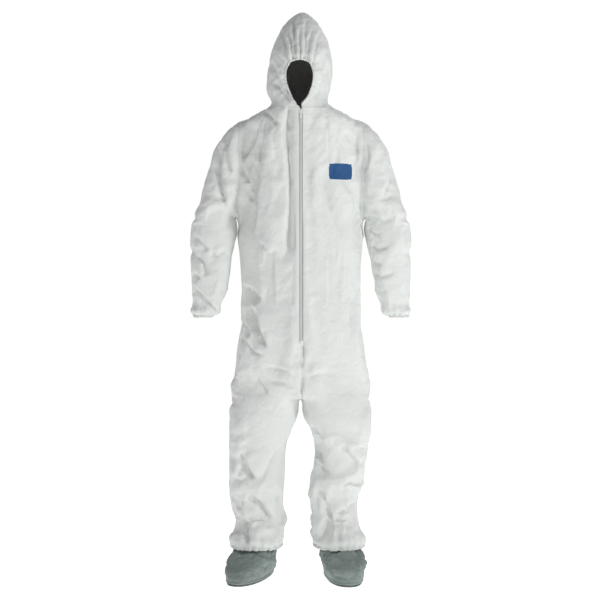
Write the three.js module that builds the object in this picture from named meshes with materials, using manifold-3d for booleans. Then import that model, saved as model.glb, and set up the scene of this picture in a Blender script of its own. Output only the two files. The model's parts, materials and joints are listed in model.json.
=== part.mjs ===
// A hooded chemical protective coverall with attached boots, standing as it does when worn.
// Millimetres, +Z up, the wearer faces -Y and the wearer's left is +X. The soles stand on z = 0.
// The pieces are laid out about the body's own axis; the whole suit then sits AXIS_Y behind the origin.
// Every fabric piece is a plain wall of one thickness, cut at the seams and at the joints.
import * as THREE from "three";
import { mergeVertices } from "three/addons/utils/BufferGeometryUtils.js";
import Module from "manifold-3d";

const wasm = await Module();
wasm.setup();

// Driving dimensions.
const WALL = 2; // fabric wall
const GAP = 0.3; // between pieces that touch
const SIDES = 20; // facets round a torso, hood, leg or boot
const SLEEVE_SIDES = 16;
const SQUARENESS = 2.3; // exponent of the superellipse that every section follows
const TOP = 1860; // tip of the hood
const FRONT_Y = -130; // the straight front edge that the zip runs along
const NECK_Z = 1535; // seam between body and hood
const HOOD_Z = 1590; // where the stiff part of the hood begins
const WAIST_Z = 735; // lower end of the body panels
const CROTCH_Z = 592; // top of the legs
const KNEE_Z = 424; // lower end of the thigh
const CALF_Z = 312; // lower end of the knee section
const SHIN_Z = 190; // lower end of the calf, where the blousing hem begins
const HEM_Z = 100;
const ARMHOLE_X = 190;
const CAP_Z = 1305; // lower end of the sleeve cap
const ELBOW_Z = 1140;
const FOREARM_Z = 1068; // lower end of the elbow section
const CUFF_Z = 858;
const SOLE = 4;
const AXIS_Y = 38.2; // puts the origin under the middle of the suit's depth
const FAR = 1000; // larger than any piece

// Zip dimensions, about its own line x = 0.
const ZIP = {
  slot: 6.5, // half the gap between the front edges
  slotBottom: 780,
  bottom: 785,
  top: 1528,
  toothIn: 0.7,
  toothOut: 3.7,
  toothFront: FRONT_Y + 3,
  toothBack: FRONT_Y + 6,
  tapeOut: 20,
  tapeFront: FRONT_Y + 4.2,
  tapeBack: FRONT_Y + 5.2,
  stop: 3,
};
const SLIDER = { z: 1520, half: 7, width: 4.9, plate: 1.6, web: 0.35, bail: 4.2, eye: 2 };

const FABRIC = { color: 0xe4e8e5, roughness: 0.62, metalness: 0 };
const BOOT_FABRIC = { color: 0x77827f, roughness: 0.75, metalness: 0 };
const SOLE_RUBBER = { color: 0x6a7472, roughness: 0.8, metalness: 0 };
const ELASTIC = { color: 0xf0f2f0, roughness: 0.8, metalness: 0 };
const ZIP_TAPE = { color: 0xd6dad7, roughness: 0.8, metalness: 0 };
const ZIP_PLASTIC = { color: 0xd2d7d4, roughness: 0.4, metalness: 0 };
const LABEL = { color: 0x0f5a96, roughness: 0.5, metalness: 0 };
const TAG = { color: 0xf4f4f4, roughness: 0.7, metalness: 0 };

const suit = new THREE.Group();

// Solids

function toSolid(geometry) {
  const plain = geometry.clone();
  plain.deleteAttribute("normal");
  plain.deleteAttribute("uv");
  const merged = mergeVertices(plain, 1e-3);
  return new wasm.Manifold(
    new wasm.Mesh({
      numProp: 3,
      vertProperties: merged.attributes.position.array,
      triVerts: new Uint32Array(merged.index.array),
    }),
  );
}

function toGeometry(solid) {
  const mesh = solid.getMesh();
  const geometry = new THREE.BufferGeometry();
  geometry.setAttribute("position", new THREE.BufferAttribute(mesh.vertProperties, 3));
  geometry.setIndex(new THREE.BufferAttribute(mesh.triVerts, 1));
  const flat = geometry.toNonIndexed();
  flat.computeVertexNormals();
  return flat;
}

function piece(name, solid, look, parent = suit) {
  const mesh = new THREE.Mesh(toGeometry(solid), new THREE.MeshStandardMaterial(look));
  mesh.name = name;
  parent.add(mesh);
  return mesh;
}

function block([x0, x1], [y0, y1], [z0, z1]) {
  const box = new THREE.BoxGeometry(x1 - x0, y1 - y0, z1 - z0);
  box.translate((x0 + x1) / 2, (y0 + y1) / 2, (z0 + z1) / 2);
  return toSolid(box);
}

// One section of a tube: its height, its extent across, and its extent from front to back.
function ring(z, left, right, front, back) {
  return { z, x: (left + right) / 2, y: (front + back) / 2, a: (right - left) / 2, b: (back - front) / 2 };
}

// The same ring on the other side of the body.
function mirrored(r) {
  return { ...r, x: -r.x };
}

function rounded(u) {
  return Math.sign(u) * Math.abs(u) ** (2 / SQUARENESS);
}

// A closed solid through rings listed from the lowest to the highest, each inset by the same amount.
function loft(rings, inset = 0, sides = SIDES) {
  const tube = new THREE.CylinderGeometry(1, 1, 1, sides, rings.length - 1);
  const position = tube.attributes.position;
  for (let i = 0; i < position.count; i++) {
    const r = rings[Math.round((position.getY(i) + 0.5) * (rings.length - 1))];
    const across = rounded(position.getX(i)) * Math.max(r.a - inset, 0.5);
    const deep = rounded(-position.getZ(i)) * Math.max(r.b - inset, 0.5);
    position.setXYZ(i, r.x + across, r.y + deep, r.z);
  }
  return toSolid(tube);
}

// The wall of a loft, open at both ends unless its top is closed.
function wall(rings, { sides = SIDES, closedTop = false, out = 0, thick = WALL } = {}) {
  const first = rings[0];
  const last = rings[rings.length - 1];
  const inner = [{ ...first, z: first.z - WALL }, ...rings];
  if (closedTop) inner[inner.length - 1] = { ...last, z: last.z - 2 * WALL };
  else inner.push({ ...last, z: last.z + WALL });
  return loft(rings, -out, sides).subtract(loft(inner, thick - out, sides));
}

// The ring at a height, between the rings above and below it.
function ringAt(rings, z) {
  const above = Math.max(1, rings.findIndex((r) => r.z >= z));
  const low = rings[above - 1];
  const high = rings[above];
  const share = (z - low.z) / (high.z - low.z);
  const mix = (key) => THREE.MathUtils.lerp(low[key], high[key], share);
  return { z, x: mix("x"), y: mix("y"), a: mix("a"), b: mix("b") };
}

// The part of a list of rings between two heights.
function span(rings, low, high) {
  const inside = rings.filter((r) => r.z > low + 1 && r.z < high - 1);
  return [ringAt(rings, low), ...inside, ringAt(rings, high)];
}

const LEFT_HALF = block([GAP / 2, FAR], [-FAR, FAR], [0, 2 * FAR]);
const RIGHT_HALF = block([-FAR, -GAP / 2], [-FAR, FAR], [0, 2 * FAR]);

// The part of a solid in front of or behind a side seam.
function frontOf(solid, y) {
  return solid.intersect(block([-FAR, FAR], [-FAR, y - GAP / 2], [0, 2 * FAR]));
}

function backOf(solid, y) {
  return solid.intersect(block([-FAR, FAR], [y + GAP / 2, FAR], [0, 2 * FAR]));
}

// Outlines: lists of rings from the lowest to the highest.

const BODY_RINGS = [
  ring(CROTCH_Z, -231, 231, -118, 122),
  ring(660, -226, 226, -126, 130),
  ring(WAIST_Z, -222, 222, FRONT_Y, 132),
  ring(830, -211, 211, FRONT_Y, 130),
  ring(950, -205, 205, FRONT_Y, 128),
  ring(1100, -202, 202, FRONT_Y, 128),
  ring(CAP_Z - 1, -203, 203, FRONT_Y, 126),
  ring(CAP_Z + 12, -212, 212, FRONT_Y, 124),
  ring(1420, -214, 214, FRONT_Y, 114),
  ring(1478, -204, 204, FRONT_Y, 102),
  ring(1503, -190, 190, FRONT_Y, 96),
  ring(1514, -165, 165, FRONT_Y, 93),
  ring(NECK_Z, -122, 122, FRONT_Y, 88),
];

const HOOD_RINGS = [
  ring(NECK_Z, -122, 122, FRONT_Y, 88),
  ring(1552, -106, 97, FRONT_Y - 1, 98),
  ring(HOOD_Z, -119, 99, FRONT_Y - 4, 118),
  ring(1640, -118, 108, FRONT_Y - 5, 130),
  ring(1690, -110, 110, FRONT_Y - 1, 134),
  ring(1730, -101, 101, -119, 128),
  ring(1770, -86, 90, -100, 114),
  ring(1808, -66, 70, -72, 90),
  ring(1834, -44, 50, -46, 66),
  ring(1850, -23, 37, -24, 44),
  ring(TOP, -4, 12, -2, 18),
];

// Inner and outer edge of the wearer's left sleeve; the right one is its mirror image.
const SLEEVE_RINGS = [
  ring(CUFF_Z, 292, 358, -33, 33),
  ring(872, 266, 362, -46, 46),
  ring(911, 246, 360, -54, 54),
  ring(990, 230, 362, -61, 61),
  ring(FOREARM_Z, 219, 363, -66, 66),
  ring(1109, 213, 362, -68, 68),
  ring(ELBOW_Z, 211, 359, -68, 68),
  ring(1228, 208, 347, -69, 69),
  ring(CAP_Z, 207, 328, -69, 69),
  ring(CAP_Z + 14, 150, 324, -70, 70),
  ring(1386, 150, 301, -72, 72),
  ring(1426, 150, 280, -70, 70),
  ring(1465, 150, 251, -62, 62),
  ring(1490, 150, 222, -48, 48),
  ring(1502, 150, 200, -30, 30),
];

const LEG_RINGS = {
  left: [
    ring(HEM_Z, 40, 214, -104, 90),
    ring(122, 34, 222, -104, 96),
    ring(158, 28, 206, -96, 94),
    ring(238, 30, 197, -86, 92),
    ring(CALF_Z, 30, 208, -88, 95),
    ring(KNEE_Z, 34, 220, -95, 100),
    ring(475, 26, 227, -100, 108),
    ring(554, 8, 229, -110, 115),
    ring(CROTCH_Z, 6, 229, -113, 118),
  ],
  right: [
    ring(HEM_Z, -234, -60, -104, 90),
    ring(122, -244, -54, -104, 96),
    ring(158, -228, -45, -96, 94),
    ring(238, -230, -46, -86, 92),
    ring(CALF_Z, -229, -42, -88, 95),
    ring(KNEE_Z, -230, -38, -95, 100),
    ring(475, -231, -26, -100, 108),
    ring(554, -231, -8, -110, 115),
    ring(CROTCH_Z, -231, -6, -113, 118),
  ],
};

// A boot in its own frame: the ankle's centre over the origin, the toe towards -Y.
const BOOT_RINGS = [
  ring(SOLE + GAP, -56, 56, -204, 80),
  ring(30, -74, 74, -212, 90),
  ring(60, -80, 80, -192, 90),
  ring(82, -76, 76, -142, 84),
  ring(99, -70, 70, -92, 72),
  ring(118, -67, 67, -78, 68),
  ring(142, -62, 62, -68, 64),
];
const BOOTS = {
  left: { x: 132, turn: 7 },
  right: { x: -146, turn: -19 },
};

// Body

// The edge of the face opening, scaled about its own middle. It is cut through the front of the hood.
function faceOpening(scale, depth) {
  const middle = { x: -6, z: 1625 };
  const edge = new THREE.Shape();
  const at = (x, z) => [(x - middle.x) * scale, (z - middle.z) * scale];
  edge.moveTo(...at(4, 1540));
  edge.quadraticCurveTo(...at(26, 1582), ...at(35, 1640));
  edge.quadraticCurveTo(...at(36, 1688), ...at(-4, 1690));
  edge.quadraticCurveTo(...at(-48, 1691), ...at(-48, 1650));
  edge.quadraticCurveTo(...at(-44, 1590), ...at(4, 1540));
  const cut = new THREE.ExtrudeGeometry(edge, { depth, bevelEnabled: false, curveSegments: 6 });
  cut.rotateX(Math.PI / 2);
  cut.translate(middle.x, FRONT_Y + 60, middle.z);
  return toSolid(cut);
}

function makeBody() {
  const armholes = block([ARMHOLE_X, FAR], [-FAR, FAR], [CAP_Z - GAP, 2 * FAR]).add(
    block([-FAR, -ARMHOLE_X], [-FAR, FAR], [CAP_Z - GAP, 2 * FAR]),
  );
  const zipSlot = block([-ZIP.slot, ZIP.slot], [-FAR, 0], [ZIP.slotBottom, 2 * FAR]);
  const body = wall(span(BODY_RINGS, WAIST_Z + GAP, NECK_Z - GAP)).subtract(armholes).subtract(zipSlot);
  const sideSeam = 0;
  piece("front_panel_left", frontOf(body.intersect(LEFT_HALF), sideSeam), FABRIC);
  piece("front_panel_right", frontOf(body.intersect(RIGHT_HALF), sideSeam), FABRIC);
  piece("back_panel_left", backOf(body.intersect(LEFT_HALF), sideSeam), FABRIC);
  piece("back_panel_right", backOf(body.intersect(RIGHT_HALF), sideSeam), FABRIC);

  const hips = wall(span(BODY_RINGS, CROTCH_Z + GAP, WAIST_Z));
  piece("hip_section_left", hips.intersect(LEFT_HALF), FABRIC);
  piece("hip_section_right", hips.intersect(RIGHT_HALF), FABRIC);
  const gusset = new THREE.Shape();
  gusset.moveTo(0, -98);
  gusset.quadraticCurveTo(9, 0, 0, 98);
  gusset.quadraticCurveTo(-9, 0, 0, -98);
  const gussetBody = new THREE.ExtrudeGeometry(gusset, { depth: WALL, bevelEnabled: false, curveSegments: 6 });
  gussetBody.translate(0, 0, CROTCH_Z - WALL - GAP);
  piece("crotch_gusset", toSolid(gussetBody), FABRIC);
}

function makeLabels() {
  const width = 82;
  const height = 56;
  const corner = 8;
  const outline = new THREE.Shape();
  outline.moveTo(-width / 2 + corner, -height / 2);
  outline.lineTo(width / 2 - corner, -height / 2);
  outline.quadraticCurveTo(width / 2, -height / 2, width / 2, -height / 2 + corner);
  outline.lineTo(width / 2, height / 2 - corner);
  outline.quadraticCurveTo(width / 2, height / 2, width / 2 - corner, height / 2);
  outline.lineTo(-width / 2 + corner, height / 2);
  outline.quadraticCurveTo(-width / 2, height / 2, -width / 2, height / 2 - corner);
  outline.lineTo(-width / 2, -height / 2 + corner);
  outline.quadraticCurveTo(-width / 2, -height / 2, -width / 2 + corner, -height / 2);
  const stamp = new THREE.ExtrudeGeometry(outline, { depth: 200, bevelEnabled: false, curveSegments: 3 });
  stamp.rotateX(Math.PI / 2);
  stamp.translate(128, 0, 1330);
  const skin = wall(span(BODY_RINGS, 1280, 1390), { out: 1 + GAP, thick: 1 });
  piece("chest_label", skin.intersect(toSolid(stamp)), LABEL);
  const neck = ringAt(BODY_RINGS, NECK_Z);
  const tagY = neck.y + neck.b - WALL - 4;
  piece("size_tag", block([-22, 22], [tagY - 0.8, tagY], [1498, 1526]), TAG);
}

// Zip

function makeZip() {
  for (const [side, s] of [["left", 1], ["right", -1]]) {
    const strip = (near, far) => (s > 0 ? [near, far] : [-far, -near]);
    const tape = block(
      strip(ZIP.toothOut + GAP, ZIP.tapeOut),
      [ZIP.tapeFront, ZIP.tapeBack],
      [ZIP.bottom, ZIP.top],
    );
    piece(`zip_tape_${side}`, tape, ZIP_TAPE);
    const teeth = block(
      strip(ZIP.toothIn, ZIP.toothOut),
      [ZIP.toothFront, ZIP.toothBack],
      [ZIP.bottom, ZIP.top],
    );
    piece(`zip_teeth_${side}`, teeth, ZIP_PLASTIC);
    const stop = block(
      strip(ZIP.toothIn, ZIP.toothOut + 1),
      [ZIP.toothFront - 0.4, ZIP.toothBack + 0.4],
      [ZIP.top + GAP, ZIP.top + GAP + ZIP.stop],
    );
    piece(`zip_top_stop_${side}`, stop, ZIP_PLASTIC);
  }
  const bottomStop = block(
    [-ZIP.toothOut - 1, ZIP.toothOut + 1],
    [ZIP.toothFront - 0.4, ZIP.toothBack + 0.4],
    [ZIP.bottom - GAP - ZIP.stop * 1.2, ZIP.bottom - GAP],
  );
  piece("zip_bottom_stop", bottomStop, ZIP_PLASTIC);
}

// The slider grips the teeth between two plates. Its post runs in the gap between the two rows.
function makeSlider() {
  const { half, width, plate, web, bail, z } = SLIDER;
  const faceY = ZIP.toothFront - 0.5;
  const backY = ZIP.toothBack + 0.5;
  const along = [z - half, z + half];
  const frontPlate = block([-width, width], [faceY - plate, faceY], along);
  const backPlate = block([-width, width], [backY, backY + plate], along);
  const post = block([-web, web], [faceY - 0.2, backY + 0.2], along);
  const lip = 0.7;
  const flange = (s) =>
    block(s > 0 ? [width - lip, width] : [-width, lip - width], [faceY - 0.2, faceY + 0.7], along);
  const outer = faceY - plate;
  const bridge = block([-0.6, 0.6], [outer - bail - 1.2, outer - bail], [z - 5, z + 5]);
  const foot = (s) =>
    block([-0.6, 0.6], [outer - bail - 0.4, outer + 0.2], s > 0 ? [z + 3.4, z + 5] : [z - 5, z - 3.4]);
  const slider = [backPlate, post, flange(1), flange(-1), bridge, foot(1), foot(-1)];
  piece("zip_slider", slider.reduce((all, part) => all.add(part), frontPlate), ZIP_PLASTIC);

  // The pull swings on a bar that passes under the bail.
  const pivotY = outer - bail / 2;
  const bar = new THREE.CylinderGeometry(0.8, 0.8, 4.2, 12);
  bar.rotateZ(Math.PI / 2);
  bar.translate(0, pivotY, z);
  const thin = 0.7;
  const rail = (s) => block(s > 0 ? [1.1, 2.2] : [-2.2, -1.1], [pivotY - thin, pivotY + thin], [z - 8.2, z + 0.7]);
  const tab = new THREE.Shape();
  tab.moveTo(-2.6, 0);
  tab.lineTo(-4, -8);
  tab.lineTo(-4, -20);
  tab.quadraticCurveTo(-4, -24, 0, -24);
  tab.quadraticCurveTo(4, -24, 4, -20);
  tab.lineTo(4, -8);
  tab.lineTo(2.6, 0);
  const tabBody = new THREE.ExtrudeGeometry(tab, { depth: 2 * thin, bevelEnabled: false, curveSegments: 4 });
  tabBody.rotateX(Math.PI / 2);
  tabBody.translate(0, pivotY + thin, z - 7.6);
  const grip = block([-2, 2], [pivotY - 2 * thin, pivotY + 2 * thin], [z - 28, z - 21]);
  const pull = toSolid(bar).add(rail(1)).add(rail(-1)).add(toSolid(tabBody)).subtract(grip);
  piece("zip_pull", pull, ZIP_PLASTIC);
}

// Hood

function makeHood() {
  const opening = faceOpening(1, 140);
  const neck = wall(span(HOOD_RINGS, NECK_Z, HOOD_Z - GAP)).subtract(opening);
  const crown = wall(span(HOOD_RINGS, HOOD_Z, TOP), { closedTop: true }).subtract(opening);
  for (const [side, half] of [["left", LEFT_HALF], ["right", RIGHT_HALF]]) {
    piece(`hood_neck_${side}`, neck.intersect(half), FABRIC);
    piece(`hood_${side}`, crown.intersect(half), FABRIC);
  }
  const band = wall(span(HOOD_RINGS, NECK_Z, 1740), { out: 1, thick: 4 });
  const rim = faceOpening(0.985, 140).subtract(faceOpening(0.86, 140));
  piece("face_elastic", band.intersect(rim), ELASTIC);
}

// Sleeves

function makeSleeve(side) {
  const rings = side === "left" ? SLEEVE_RINGS : SLEEVE_RINGS.map(mirrored);
  const tube = (low, high, more = {}) => wall(span(rings, low, high), { sides: SLEEVE_SIDES, ...more });
  const outside =
    side === "left"
      ? block([ARMHOLE_X + GAP, FAR], [-FAR, FAR], [0, 2 * FAR])
      : block([-FAR, -ARMHOLE_X - GAP], [-FAR, FAR], [0, 2 * FAR]);
  const top = rings[rings.length - 1].z;
  piece(`sleeve_cap_${side}`, tube(CAP_Z, top, { closedTop: true }).intersect(outside), FABRIC);
  piece(`sleeve_upper_${side}`, tube(ELBOW_Z, CAP_Z - GAP), FABRIC);
  piece(`elbow_section_${side}`, tube(FOREARM_Z, ELBOW_Z - GAP), FABRIC);
  piece(`sleeve_lower_${side}`, tube(CUFF_Z, FOREARM_Z - GAP), FABRIC);
  const elastic = wall(span(rings, CUFF_Z + 2, CUFF_Z + 11), {
    sides: SLEEVE_SIDES,
    out: -WALL - GAP,
    thick: 1.2,
  });
  piece(`wrist_elastic_${side}`, elastic, ELASTIC);
}

// Legs and boots

function makeLeg(side) {
  const rings = LEG_RINGS[side];
  const seam = 2;
  const tube = (low, high) => wall(span(rings, low, high));
  const thigh = tube(KNEE_Z, CROTCH_Z - GAP);
  const calf = tube(SHIN_Z, CALF_Z - GAP);
  piece(`thigh_front_${side}`, frontOf(thigh, seam), FABRIC);
  piece(`thigh_back_${side}`, backOf(thigh, seam), FABRIC);
  piece(`knee_section_${side}`, tube(CALF_Z, KNEE_Z - GAP), FABRIC);
  piece(`calf_front_${side}`, frontOf(calf, seam), FABRIC);
  piece(`calf_back_${side}`, backOf(calf, seam), FABRIC);
  piece(`hem_section_${side}`, tube(HEM_Z, SHIN_Z - GAP), FABRIC);
}

function makeBoot(side) {
  const { x, turn } = BOOTS[side];
  const boot = new THREE.Group();
  boot.position.set(x, 0, 0);
  boot.rotation.z = THREE.MathUtils.degToRad(turn);
  suit.add(boot);
  piece(`boot_upper_${side}`, wall(BOOT_RINGS), BOOT_FABRIC, boot);
  const foot = BOOT_RINGS[0];
  const outline = loft([{ ...foot, z: 0 }, { ...foot, z: SOLE }]);
  piece(`boot_sole_${side}`, outline, SOLE_RUBBER, boot);
  const top = BOOT_RINGS[BOOT_RINGS.length - 1].z;
  const elastic = wall(span(BOOT_RINGS, top - 9, top - 1), { out: -WALL - GAP, thick: 1.2 });
  piece(`boot_elastic_${side}`, elastic, ELASTIC, boot);
}

makeBody();
makeLabels();
makeZip();
makeSlider();
makeHood();
for (const side of ["left", "right"]) {
  makeSleeve(side);
  makeLeg(side);
  makeBoot(side);
}

suit.position.y = AXIS_Y;

export default suit;
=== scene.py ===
"""A hooded chemical protective coverall with grey boots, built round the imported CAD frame.

The shell is one closed surface through the frame's sections. Cloth simulation with more fabric than
the surface needs makes it crease, and it is then cut into pieces at the seams and joints.
Metres, +Z up, the wearer faces -Y and the wearer's left is +X.
"""

import json
import math
from contextlib import contextmanager
from itertools import product

import bmesh
import bpy
import numpy as np
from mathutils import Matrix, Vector, geometry
from mathutils.bvhtree import BVHTree
from mathutils.kdtree import KDTree


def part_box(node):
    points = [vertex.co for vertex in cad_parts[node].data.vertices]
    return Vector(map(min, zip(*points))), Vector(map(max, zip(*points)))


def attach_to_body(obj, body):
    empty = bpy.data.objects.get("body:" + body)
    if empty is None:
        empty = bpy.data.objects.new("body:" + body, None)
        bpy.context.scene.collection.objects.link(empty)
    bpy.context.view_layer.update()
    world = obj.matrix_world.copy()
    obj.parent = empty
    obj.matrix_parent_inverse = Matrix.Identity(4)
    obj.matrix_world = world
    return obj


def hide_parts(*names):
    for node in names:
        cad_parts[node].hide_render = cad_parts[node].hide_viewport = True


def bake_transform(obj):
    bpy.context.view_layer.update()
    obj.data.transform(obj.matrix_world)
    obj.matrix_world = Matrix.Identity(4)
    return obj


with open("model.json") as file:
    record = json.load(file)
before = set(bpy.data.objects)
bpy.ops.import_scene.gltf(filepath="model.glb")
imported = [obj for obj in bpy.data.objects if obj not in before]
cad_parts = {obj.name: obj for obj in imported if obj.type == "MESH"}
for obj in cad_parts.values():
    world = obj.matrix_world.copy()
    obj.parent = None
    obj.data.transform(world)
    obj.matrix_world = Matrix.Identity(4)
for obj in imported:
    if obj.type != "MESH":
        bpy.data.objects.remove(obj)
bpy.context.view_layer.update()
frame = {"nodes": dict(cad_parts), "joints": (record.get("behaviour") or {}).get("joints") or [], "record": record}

MM = 0.001
SIDES = ("left", "right")
SIGN = {"left": 1, "right": -1}
AXIS_Y = next(m["pos_m"][1] for m in frame["record"]["mounts"] if m["name"] == "wearer")
HINGE = {j["name"]: Vector(j["pos_m"]) for j in frame["joints"] if "pos_m" in j}

# Heights and widths that the seams and joints are cut at, read from the frame.
NECK_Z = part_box("hood_neck_left")[0].z
WAIST_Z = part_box("front_panel_left")[0].z
CROTCH_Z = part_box("thigh_front_left")[1].z
KNEE_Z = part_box("thigh_front_left")[0].z
CALF_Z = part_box("calf_front_left")[1].z
SHIN_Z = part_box("calf_front_left")[0].z
HEM_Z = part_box("hem_section_left")[0].z
CAP_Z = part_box("sleeve_cap_left")[0].z
ELBOW_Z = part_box("sleeve_upper_left")[0].z
FOREARM_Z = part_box("sleeve_lower_left")[1].z
CUFF_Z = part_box("sleeve_lower_left")[0].z
FRONT_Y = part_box("front_panel_left")[0].y
ZIP_LOW, ZIP_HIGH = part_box("zip_tape_left")
FACE_LOW, FACE_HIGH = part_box("face_elastic")

VOXEL = 0.0095
SQUARENESS = 2.3  # exponent of the superellipse of every section
ZIP_HALF = 0.0062  # half the gap between the fronts
INSET = 0.006  # room between the frame's outside and the unwrinkled cloth, which the folds fill
SIDE_X = 0.199  # the body's side, and the sleeve's next to it, kept apart for the voxels
SLEEVE_IN_X = 0.221
SHOULDER_IN_X = 0.150  # how far the sleeves reach into the body at the shoulders
BESIDE_ARMS_Z = (0.78, 0.98)  # where the body's sides are drawn in beside the sleeves
SIDE_GAP = 0.018  # what is left between them afterwards, at the armpit
NECK_PINCH_Z, NECK_PINCH = 1.556, 0.012  # the narrowest height of the neck, and how far it goes in
INSEAM_X = 0.016
FACE_ABOVE, FACE_BELOW = 0.056, 0.100  # how far the face opening reaches over and under its widest line
ARM_SPLIT_X = 0.203  # the armhole seam
CUFF_IN_X, HANDS_Z = 0.236, 0.95  # between the hips and the cuffs, which are told apart by it below this
ARMPIT_Z = 1.170  # the cloth joins sleeve and body from here up, well below the shoulder's own armpit

# The pieces that the shell is sewn from, each as a left and a right one.
STEMS = (
    "front_panel", "back_panel", "hood", "sleeve_upper", "sleeve_lower", "leg_upper", "leg_lower", "leg_hem",
)


# Small mesh tools


def new_object(name, verts, faces):
    """An object in the scene from points and faces."""
    mesh = bpy.data.meshes.new(name)
    mesh.from_pydata([tuple(v) for v in verts], [], [tuple(f) for f in faces])
    mesh.validate()
    obj = bpy.data.objects.new(name, mesh)
    bpy.context.scene.collection.objects.link(obj)
    return obj


def coords(obj):
    """The object's points, a row each."""
    co = np.empty(len(obj.data.vertices) * 3)
    obj.data.vertices.foreach_get("co", co)
    return co.reshape(-1, 3)


def set_coords(obj, co):
    obj.data.vertices.foreach_set("co", np.asarray(co, float).ravel())
    obj.data.update()


def normals(obj):
    """The object's point normals, a row each."""
    no = np.empty(len(obj.data.vertices) * 3)
    obj.data.vertices.foreach_get("normal", no)
    return no.reshape(-1, 3)


@contextmanager
def edited(obj):
    """The object's mesh as a bmesh, which is written back at the end."""
    bm = bmesh.new()
    bm.from_mesh(obj.data)
    yield bm
    bm.to_mesh(obj.data)
    bm.free()
    obj.data.update()


def parts_of(faces):
    """Faces with their corners and edges, in the mesh's own order."""
    verts = sorted({v for f in faces for v in f.verts}, key=lambda v: v.index)
    edges = sorted({e for f in faces for e in f.edges}, key=lambda e: e.index)
    return verts + edges + faces


def relax(bm, verts, rounds, axes="xyz"):
    """Evens out some vertices along the given axes."""
    for _ in range(rounds):
        bmesh.ops.smooth_vert(bm, verts=verts, factor=0.5, use_axis_x="x" in axes, use_axis_y="y" in axes,
                              use_axis_z="z" in axes)


def apply_modifier(obj, modifier):
    """Applies one modifier."""
    bpy.context.view_layer.objects.active = obj
    with bpy.context.temp_override(object=obj, active_object=obj, selected_objects=[obj]):
        bpy.ops.object.modifier_apply(modifier=modifier.name)


def join(name, objects):
    """Joins objects into the first of them."""
    chosen = {"active_object": objects[0], "object": objects[0], "selected_objects": objects}
    with bpy.context.temp_override(selected_editable_objects=objects, **chosen):
        bpy.ops.object.join()
    objects[0].name = name
    objects[0].data.name = name
    return objects[0]


def shade_smooth(obj):
    obj.data.polygons.foreach_set("use_smooth", [True] * len(obj.data.polygons))


def subdivide(obj):
    """Splits every face in four, with a rounder surface."""
    finer = obj.modifiers.new("finer", "SUBSURF")
    finer.levels = finer.render_levels = 1
    apply_modifier(obj, finer)


def smoothstep(x, low, high):
    """0 below low, 1 above high, and a smooth rise between them."""
    t = np.clip((x - low) / (high - low), 0, 1)
    return t * t * (3 - 2 * t)


# The surface of the suit: through the frame's sections, joined by voxels


def extent(names, z):
    """The box across x and y of the frame's nodes where they are cut at one height."""
    xs, ys = [], []
    for name in names:
        mesh = frame["nodes"][name].data
        co = coords(frame["nodes"][name])
        edges = np.array([e.vertices for e in mesh.edges])
        a, b = co[edges[:, 0]], co[edges[:, 1]]
        crossing = (a[:, 2] - z) * (b[:, 2] - z) < 0
        a, b = a[crossing], b[crossing]
        share = ((z - a[:, 2]) / (b[:, 2] - a[:, 2]))[:, None]
        hit = a + share * (b - a)
        xs += list(hit[:, 0])
        ys += list(hit[:, 1])
    return min(xs), max(xs), min(ys), max(ys)


def sections(groups, step=0.012):
    """Boxes at even heights through groups of nodes that stand on one another, the lowest group first."""
    spans = [(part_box(names[0])[0].z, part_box(names[0])[1].z, names) for names in groups]
    low, high = spans[0][0], spans[-1][1]
    count = round((high - low) / step)
    rows = []
    for i in range(count + 1):
        z = low + (high - low) * i / count
        bottom, top, names = [span for span in spans if span[0] <= z + MM][-1]
        rows.append((z, *extent(names, min(max(z, bottom + MM), top - MM))))
    table = np.array(rows)
    for _ in range(2):
        table[1:-1, 1:] = (table[:-2, 1:] + 2 * table[1:-1, 1:] + table[2:, 1:]) / 4
    return table


def tube(name, table, sides=64):
    """A closed superelliptic tube through section boxes."""
    verts, faces = [], []
    for z, x0, x1, y0, y1 in table:
        for k in range(sides):
            a = 2 * math.pi * k / sides
            c, s = math.cos(a), math.sin(a)
            u = math.copysign(abs(c) ** (2 / SQUARENESS), c)
            v = math.copysign(abs(s) ** (2 / SQUARENESS), s)
            wide, deep = max((x1 - x0) / 2 - INSET, MM), max((y1 - y0) / 2 - INSET, MM)
            verts.append(((x0 + x1) / 2 + u * wide, (y0 + y1) / 2 + v * deep, z))
    rings = len(table)
    for i in range(rings - 1):
        for k in range(sides):
            n = (k + 1) % sides
            faces.append((i * sides + k, i * sides + n, (i + 1) * sides + n, (i + 1) * sides + k))
    faces.append(tuple(reversed(range(sides))))
    faces.append(tuple(range((rings - 1) * sides, rings * sides)))
    return new_object(name, verts, faces)


def inner_edge(table, side, low, high, value):
    """Sets the edge next to the body of the sections between two heights."""
    column = 1 if side == "left" else 2
    rows = (table[:, 0] > low) & (table[:, 0] < high)
    keep = np.maximum if side == "left" else np.minimum
    table[rows, column] = keep(table[rows, column], SIGN[side] * value)
    return table


def extended(table, down=0.0, up=0.0):
    """The same sections with the first or last one carried on past the end."""
    rows = [list(r) for r in table]
    if down:
        rows.insert(0, [rows[0][0] - down, *rows[0][1:]])
    if up:
        z, x0, x1, y0, y1 = rows[-1]
        rows.append([z + up, x0 + up, x1 - up, y0 + up, y1 - up])
    return np.array(rows)


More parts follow.
